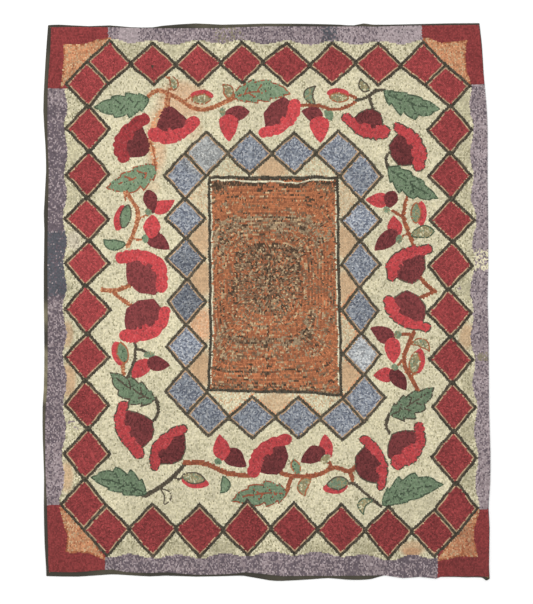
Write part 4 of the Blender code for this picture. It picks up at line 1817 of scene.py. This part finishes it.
class RUG_OT_ground_cloth(bpy.types.Operator):
    """Lay the woven ground cloth with its hem"""

    bl_idname = "rug.ground_cloth"
    bl_label = "Lay the ground cloth"

    def execute(self, context):
        _, board, _, colours = hooked_design(context.scene)
        across, along = 110, 136
        count = across * along
        x, y = spread_sheet(cloth_outline(), across, along)
        edge = np.minimum(x - x.min(axis=1)[:, None], x.max(axis=1)[:, None] - x)
        edge = np.minimum(edge, np.minimum(y - y.min(axis=0), y.max(axis=0) - y))
        lift = HEM_LIFT * (1 - smooth_step(12, 24, edge))
        low = np.column_stack([x.ravel(), y.ravel(), lift.ravel()])
        high = low + (0, 0, CLOTH_THICKNESS)
        index = np.arange(count).reshape(along, across)
        corners = (index[:-1, :-1], index[:-1, 1:], index[1:, 1:], index[1:, :-1])
        top = np.column_stack([corner.ravel() for corner in corners]) + count
        under = top[:, ::-1] - count
        rim = np.concatenate([index[0], index[1:, -1], index[-1, -2::-1], index[-2:0:-1, 0]])
        after = np.roll(rim, -1)
        wall = np.column_stack([rim, after, after + count, rim + count])
        faces = np.vstack([under, top, wall])
        made = new_mesh_object("ground_cloth", np.vstack([low, high]), faces)
        loop = board.loop_near(low[:, :2])
        tint = np.where(loop[:, None] >= 0, colours[loop], context.scene.rug_dyes.burlap)
        add_colours(made, np.vstack([tint, tint]))
        made.data.materials.append(burlap_back(context.scene.rug_dyes))
        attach(made, "root")
        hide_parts("hooked_rug")
        return {"FINISHED"}


# Where the tape has worn, along each side
Wear = namedtuple("Wear", "side start end amount")
WEAR = [
    Wear("left", -400, -190, 1.0),
    Wear("left", -100, -10, 0.75),
    Wear("left", 400, 1000, 0.12),
    Wear("left", -800, -420, 0.2),
    Wear("top", -300, 100, 0.22),
    Wear("top", 380, 440, 0.2),
    Wear("bottom", -700, -500, 0.15),
    Wear("bottom", 0, 420, 0.1),
]


def fold_turns(radius, lower, upper):
    """The two quarter circles of the fold, the lower and the upper, at these angles."""
    turns = [(FOLD_RADIUS - radius * np.sin(t), FOLD_RADIUS - radius * np.cos(t)) for t in lower]
    centre = TAPE_TOP_LEVEL - FOLD_RADIUS
    turns += [(FOLD_RADIUS - radius * np.cos(t), centre + radius * np.sin(t)) for t in upper]
    return turns


def tape_section(thick):
    """The tape's back leg and fold in cross-section, as places in from the fold and
    heights: from the back leg's end on its outer face, then the same on its inner one."""
    turn = np.linspace(0, np.pi / 2, 5)
    legs = np.linspace(TAPE_BACK_LEG, FOLD_END, 4)
    outer = [(leg, 0.0) for leg in legs] + fold_turns(FOLD_RADIUS, turn, turn)
    inner = [(leg, thick) for leg in legs[:3]]
    inner += fold_turns(FOLD_RADIUS - thick, turn[1:], turn[:-1])
    return outer, inner


class RUG_OT_binding(bpy.types.Operator):
    """Fold a strip of tape round the hem on each side"""

    bl_idname = "rug.binding"
    bl_label = "Fold the binding tape"

    def execute(self, context):
        sizes, dyes = context.scene.rug_sizes, context.scene.rug_dyes
        material = twill_tape(dyes)
        thick = sizes.tape_thickness / MM
        outer, inner = tape_section(thick)
        for side in SIDES:
            fold = fold_line(side)
            share = np.linspace(0, 1, int(np.ptp(fold.along) / 7))
            reach = self.front_reach(side, fold, share)
            halfway, whole = (FOLD_END + k * (reach - FOLD_END) for k in (0.5, 1.0))
            under = TAPE_TOP_LEVEL - thick
            front = [(halfway, TAPE_TOP_LEVEL), (whole, TAPE_TOP_LEVEL)]
            front += [(whole, under), (halfway, under)]
            section = outer + front + inner[::-1]
            ring = np.stack([self.row(side, fold, share, *place) for place in section])
            made = self.strip(f"tape_{side}", ring, reverse=axis_of(side) == 0)
            self.mark_wear(made, side)
            made.data.materials.append(material)
            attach(made, "root")
            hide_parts(f"binding_{side}")
        return {"FINISHED"}

    @staticmethod
    def front_reach(side, fold, share):
        """How far the front leg reaches in from the fold, at these shares of the side."""
        axis = axis_of(side)
        level = node_points(f"binding_{side}", TAPE_TOP_LEVEL)
        inward = np.interp(level[:, axis], *fold) - level[:, 1 - axis]
        front = level[np.abs(inward) > 2]
        front = front[np.argsort(front[:, axis])]
        inward = sign_of(side) * (np.interp(front[:, axis], *fold) - front[:, 1 - axis])
        along = fold.along[0] + share * np.ptp(fold.along)
        return np.interp(along, front[:, axis], inward)

    @staticmethod
    def row(side, fold, share, inward, height):
        """A line along the side, some way in from the fold, mitred at its ends."""
        axis = axis_of(side)
        inward = np.broadcast_to(inward, share.shape).astype(float)
        start, end = fold.along[0] + inward, fold.along[-1] - inward
        along = start + (end - start) * share
        across = np.interp(along, *fold) - sign_of(side) * inward
        ripple = 0.12 * waves(along, across * 0 + height, 24, 91) * (height > 2)
        points = np.empty((len(share), 3))
        points[:, axis], points[:, 1 - axis], points[:, 2] = along, across, height + ripple
        return points

    @staticmethod
    def strip(name, ring, reverse):
        """A closed tube of rows, with its two ends filled. Where the rows run the other
        way round, the faces are reversed."""
        count, steps = ring.shape[:2]
        index = np.arange(count * steps).reshape(count, steps)
        a, b = index, np.roll(index, -1, 0)
        quads = np.stack([a[:, :-1], a[:, 1:], b[:, 1:], b[:, :-1]], -1).reshape(-1, 4)
        half = count // 2
        lower, upper = index[:half], index[count - half :][::-1]
        caps = []
        for end in (0, -1):
            one, two = lower[:, end], upper[:, end]
            cap = np.column_stack([one[:-1], one[1:], two[1:], two[:-1]])
            caps.append(cap if end == -1 else cap[:, ::-1])
        faces = np.vstack([quads] + caps)
        if reverse:
            faces = faces[:, ::-1]
        return new_mesh_object(name, ring.reshape(-1, 3), faces)

    @staticmethod
    def mark_wear(made, side):
        """Puts how worn the tape is on each vertex, for its material."""
        along = mesh_points(made.data)[:, axis_of(side)] / MM
        worn = np.zeros(len(along))
        for wear in WEAR:
            if wear.side == side:
                soft = soft_span(wear.start, wear.end, 30, along)
                worn = np.maximum(worn, soft * wear.amount)
        layer = made.data.attributes.new("worn", "FLOAT", "POINT")
        layer.data.foreach_set("value", worn.astype(np.float32))


class RUG_OT_stage(bpy.types.Operator):
    """Set the floor, the light and the camera straight above"""

    bl_idname = "rug.stage"
    bl_label = "Set the stage"

    def execute(self, context):
        sizes, dyes = context.scene.rug_sizes, context.scene.rug_dyes
        half = sizes.floor_side / MM / 2
        corners = half * np.array([(-1, -1, 0), (1, -1, 0), (1, 1, 0), (-1, 1, 0)])
        corners = corners + (0, 0, FLOOR_LEVEL)
        floor = new_mesh_object("floor", corners, np.array([[0, 1, 2, 3]]), smooth=False)
        # A floor painted white, matt
        material, tree = new_material("painted_floor_matt")
        finish_material(
            tree, {"Base Color": (*dyes.floor, 1), "Roughness": 0.9, "Specular IOR Level": 0.2}
        )
        floor.data.materials.append(material)

        world = context.scene.world or bpy.data.worlds.new("studio")
        context.scene.world = world
        world.use_nodes = True
        sky = world.node_tree.nodes["Background"]
        sky.inputs["Color"].default_value = (1, 1, 1, 1)
        sky.inputs["Strength"].default_value = SKY_STRENGTH

        softbox = bpy.data.lights.new("softbox", "AREA")
        softbox.shape = "RECTANGLE"
        softbox.size, softbox.size_y = SOFTBOX_SIDE, SOFTBOX_SIDE
        softbox.energy = SOFTBOX_POWER
        lamp = bpy.data.objects.new("softbox", softbox)
        lamp.location = SOFTBOX_PLACE
        lamp.rotation_euler = (-lamp.location).to_track_quat("-Z", "Y").to_euler()
        context.scene.collection.objects.link(lamp)

        camera = bpy.data.cameras.new("camera")
        camera.lens = CAMERA_LENS
        camera.sensor_fit = "AUTO"
        camera.sensor_width = 36.0
        camera.clip_end = 50.0
        shot = bpy.data.objects.new("camera", camera)
        shot.location = (CAMERA_X, 0.0, sizes.camera_height)
        context.scene.collection.objects.link(shot)
        context.scene.camera = shot
        context.scene.view_settings.view_transform = "Standard"
        return {"FINISHED"}


class RUG_PT_panel(bpy.types.Panel):
    """The rug's parts, sizes and dyes"""

    bl_idname = "RUG_PT_panel"
    bl_label = "Hooked Rug"
    bl_space_type = "VIEW_3D"
    bl_region_type = "UI"
    bl_category = "Rug"

    def draw(self, context):
        layout = self.layout
        for operator in OPERATORS:
            layout.operator(operator.bl_idname)
        for group in (context.scene.rug_sizes, context.scene.rug_dyes):
            box = layout.box()
            for name in type(group).__annotations__:
                box.prop(group, name)


OPERATORS = (RUG_OT_pile, RUG_OT_ground_cloth, RUG_OT_binding, RUG_OT_stage)
CLASSES = (RugSizes, RugDyes, *OPERATORS, RUG_PT_panel)


def register():
    for cls in CLASSES:
        bpy.utils.register_class(cls)
    bpy.types.Scene.rug_sizes = bpy.props.PointerProperty(type=RugSizes)
    bpy.types.Scene.rug_dyes = bpy.props.PointerProperty(type=RugDyes)


def unregister():
    del bpy.types.Scene.rug_dyes
    del bpy.types.Scene.rug_sizes
    for cls in reversed(CLASSES):
        bpy.utils.unregister_class(cls)


def main():
    """Makes every piece."""
    register()
    bpy.ops.rug.pile()
    bpy.ops.rug.ground_cloth()
    bpy.ops.rug.binding()
    bpy.ops.rug.stage()


if __name__ == "__main__":
    main()
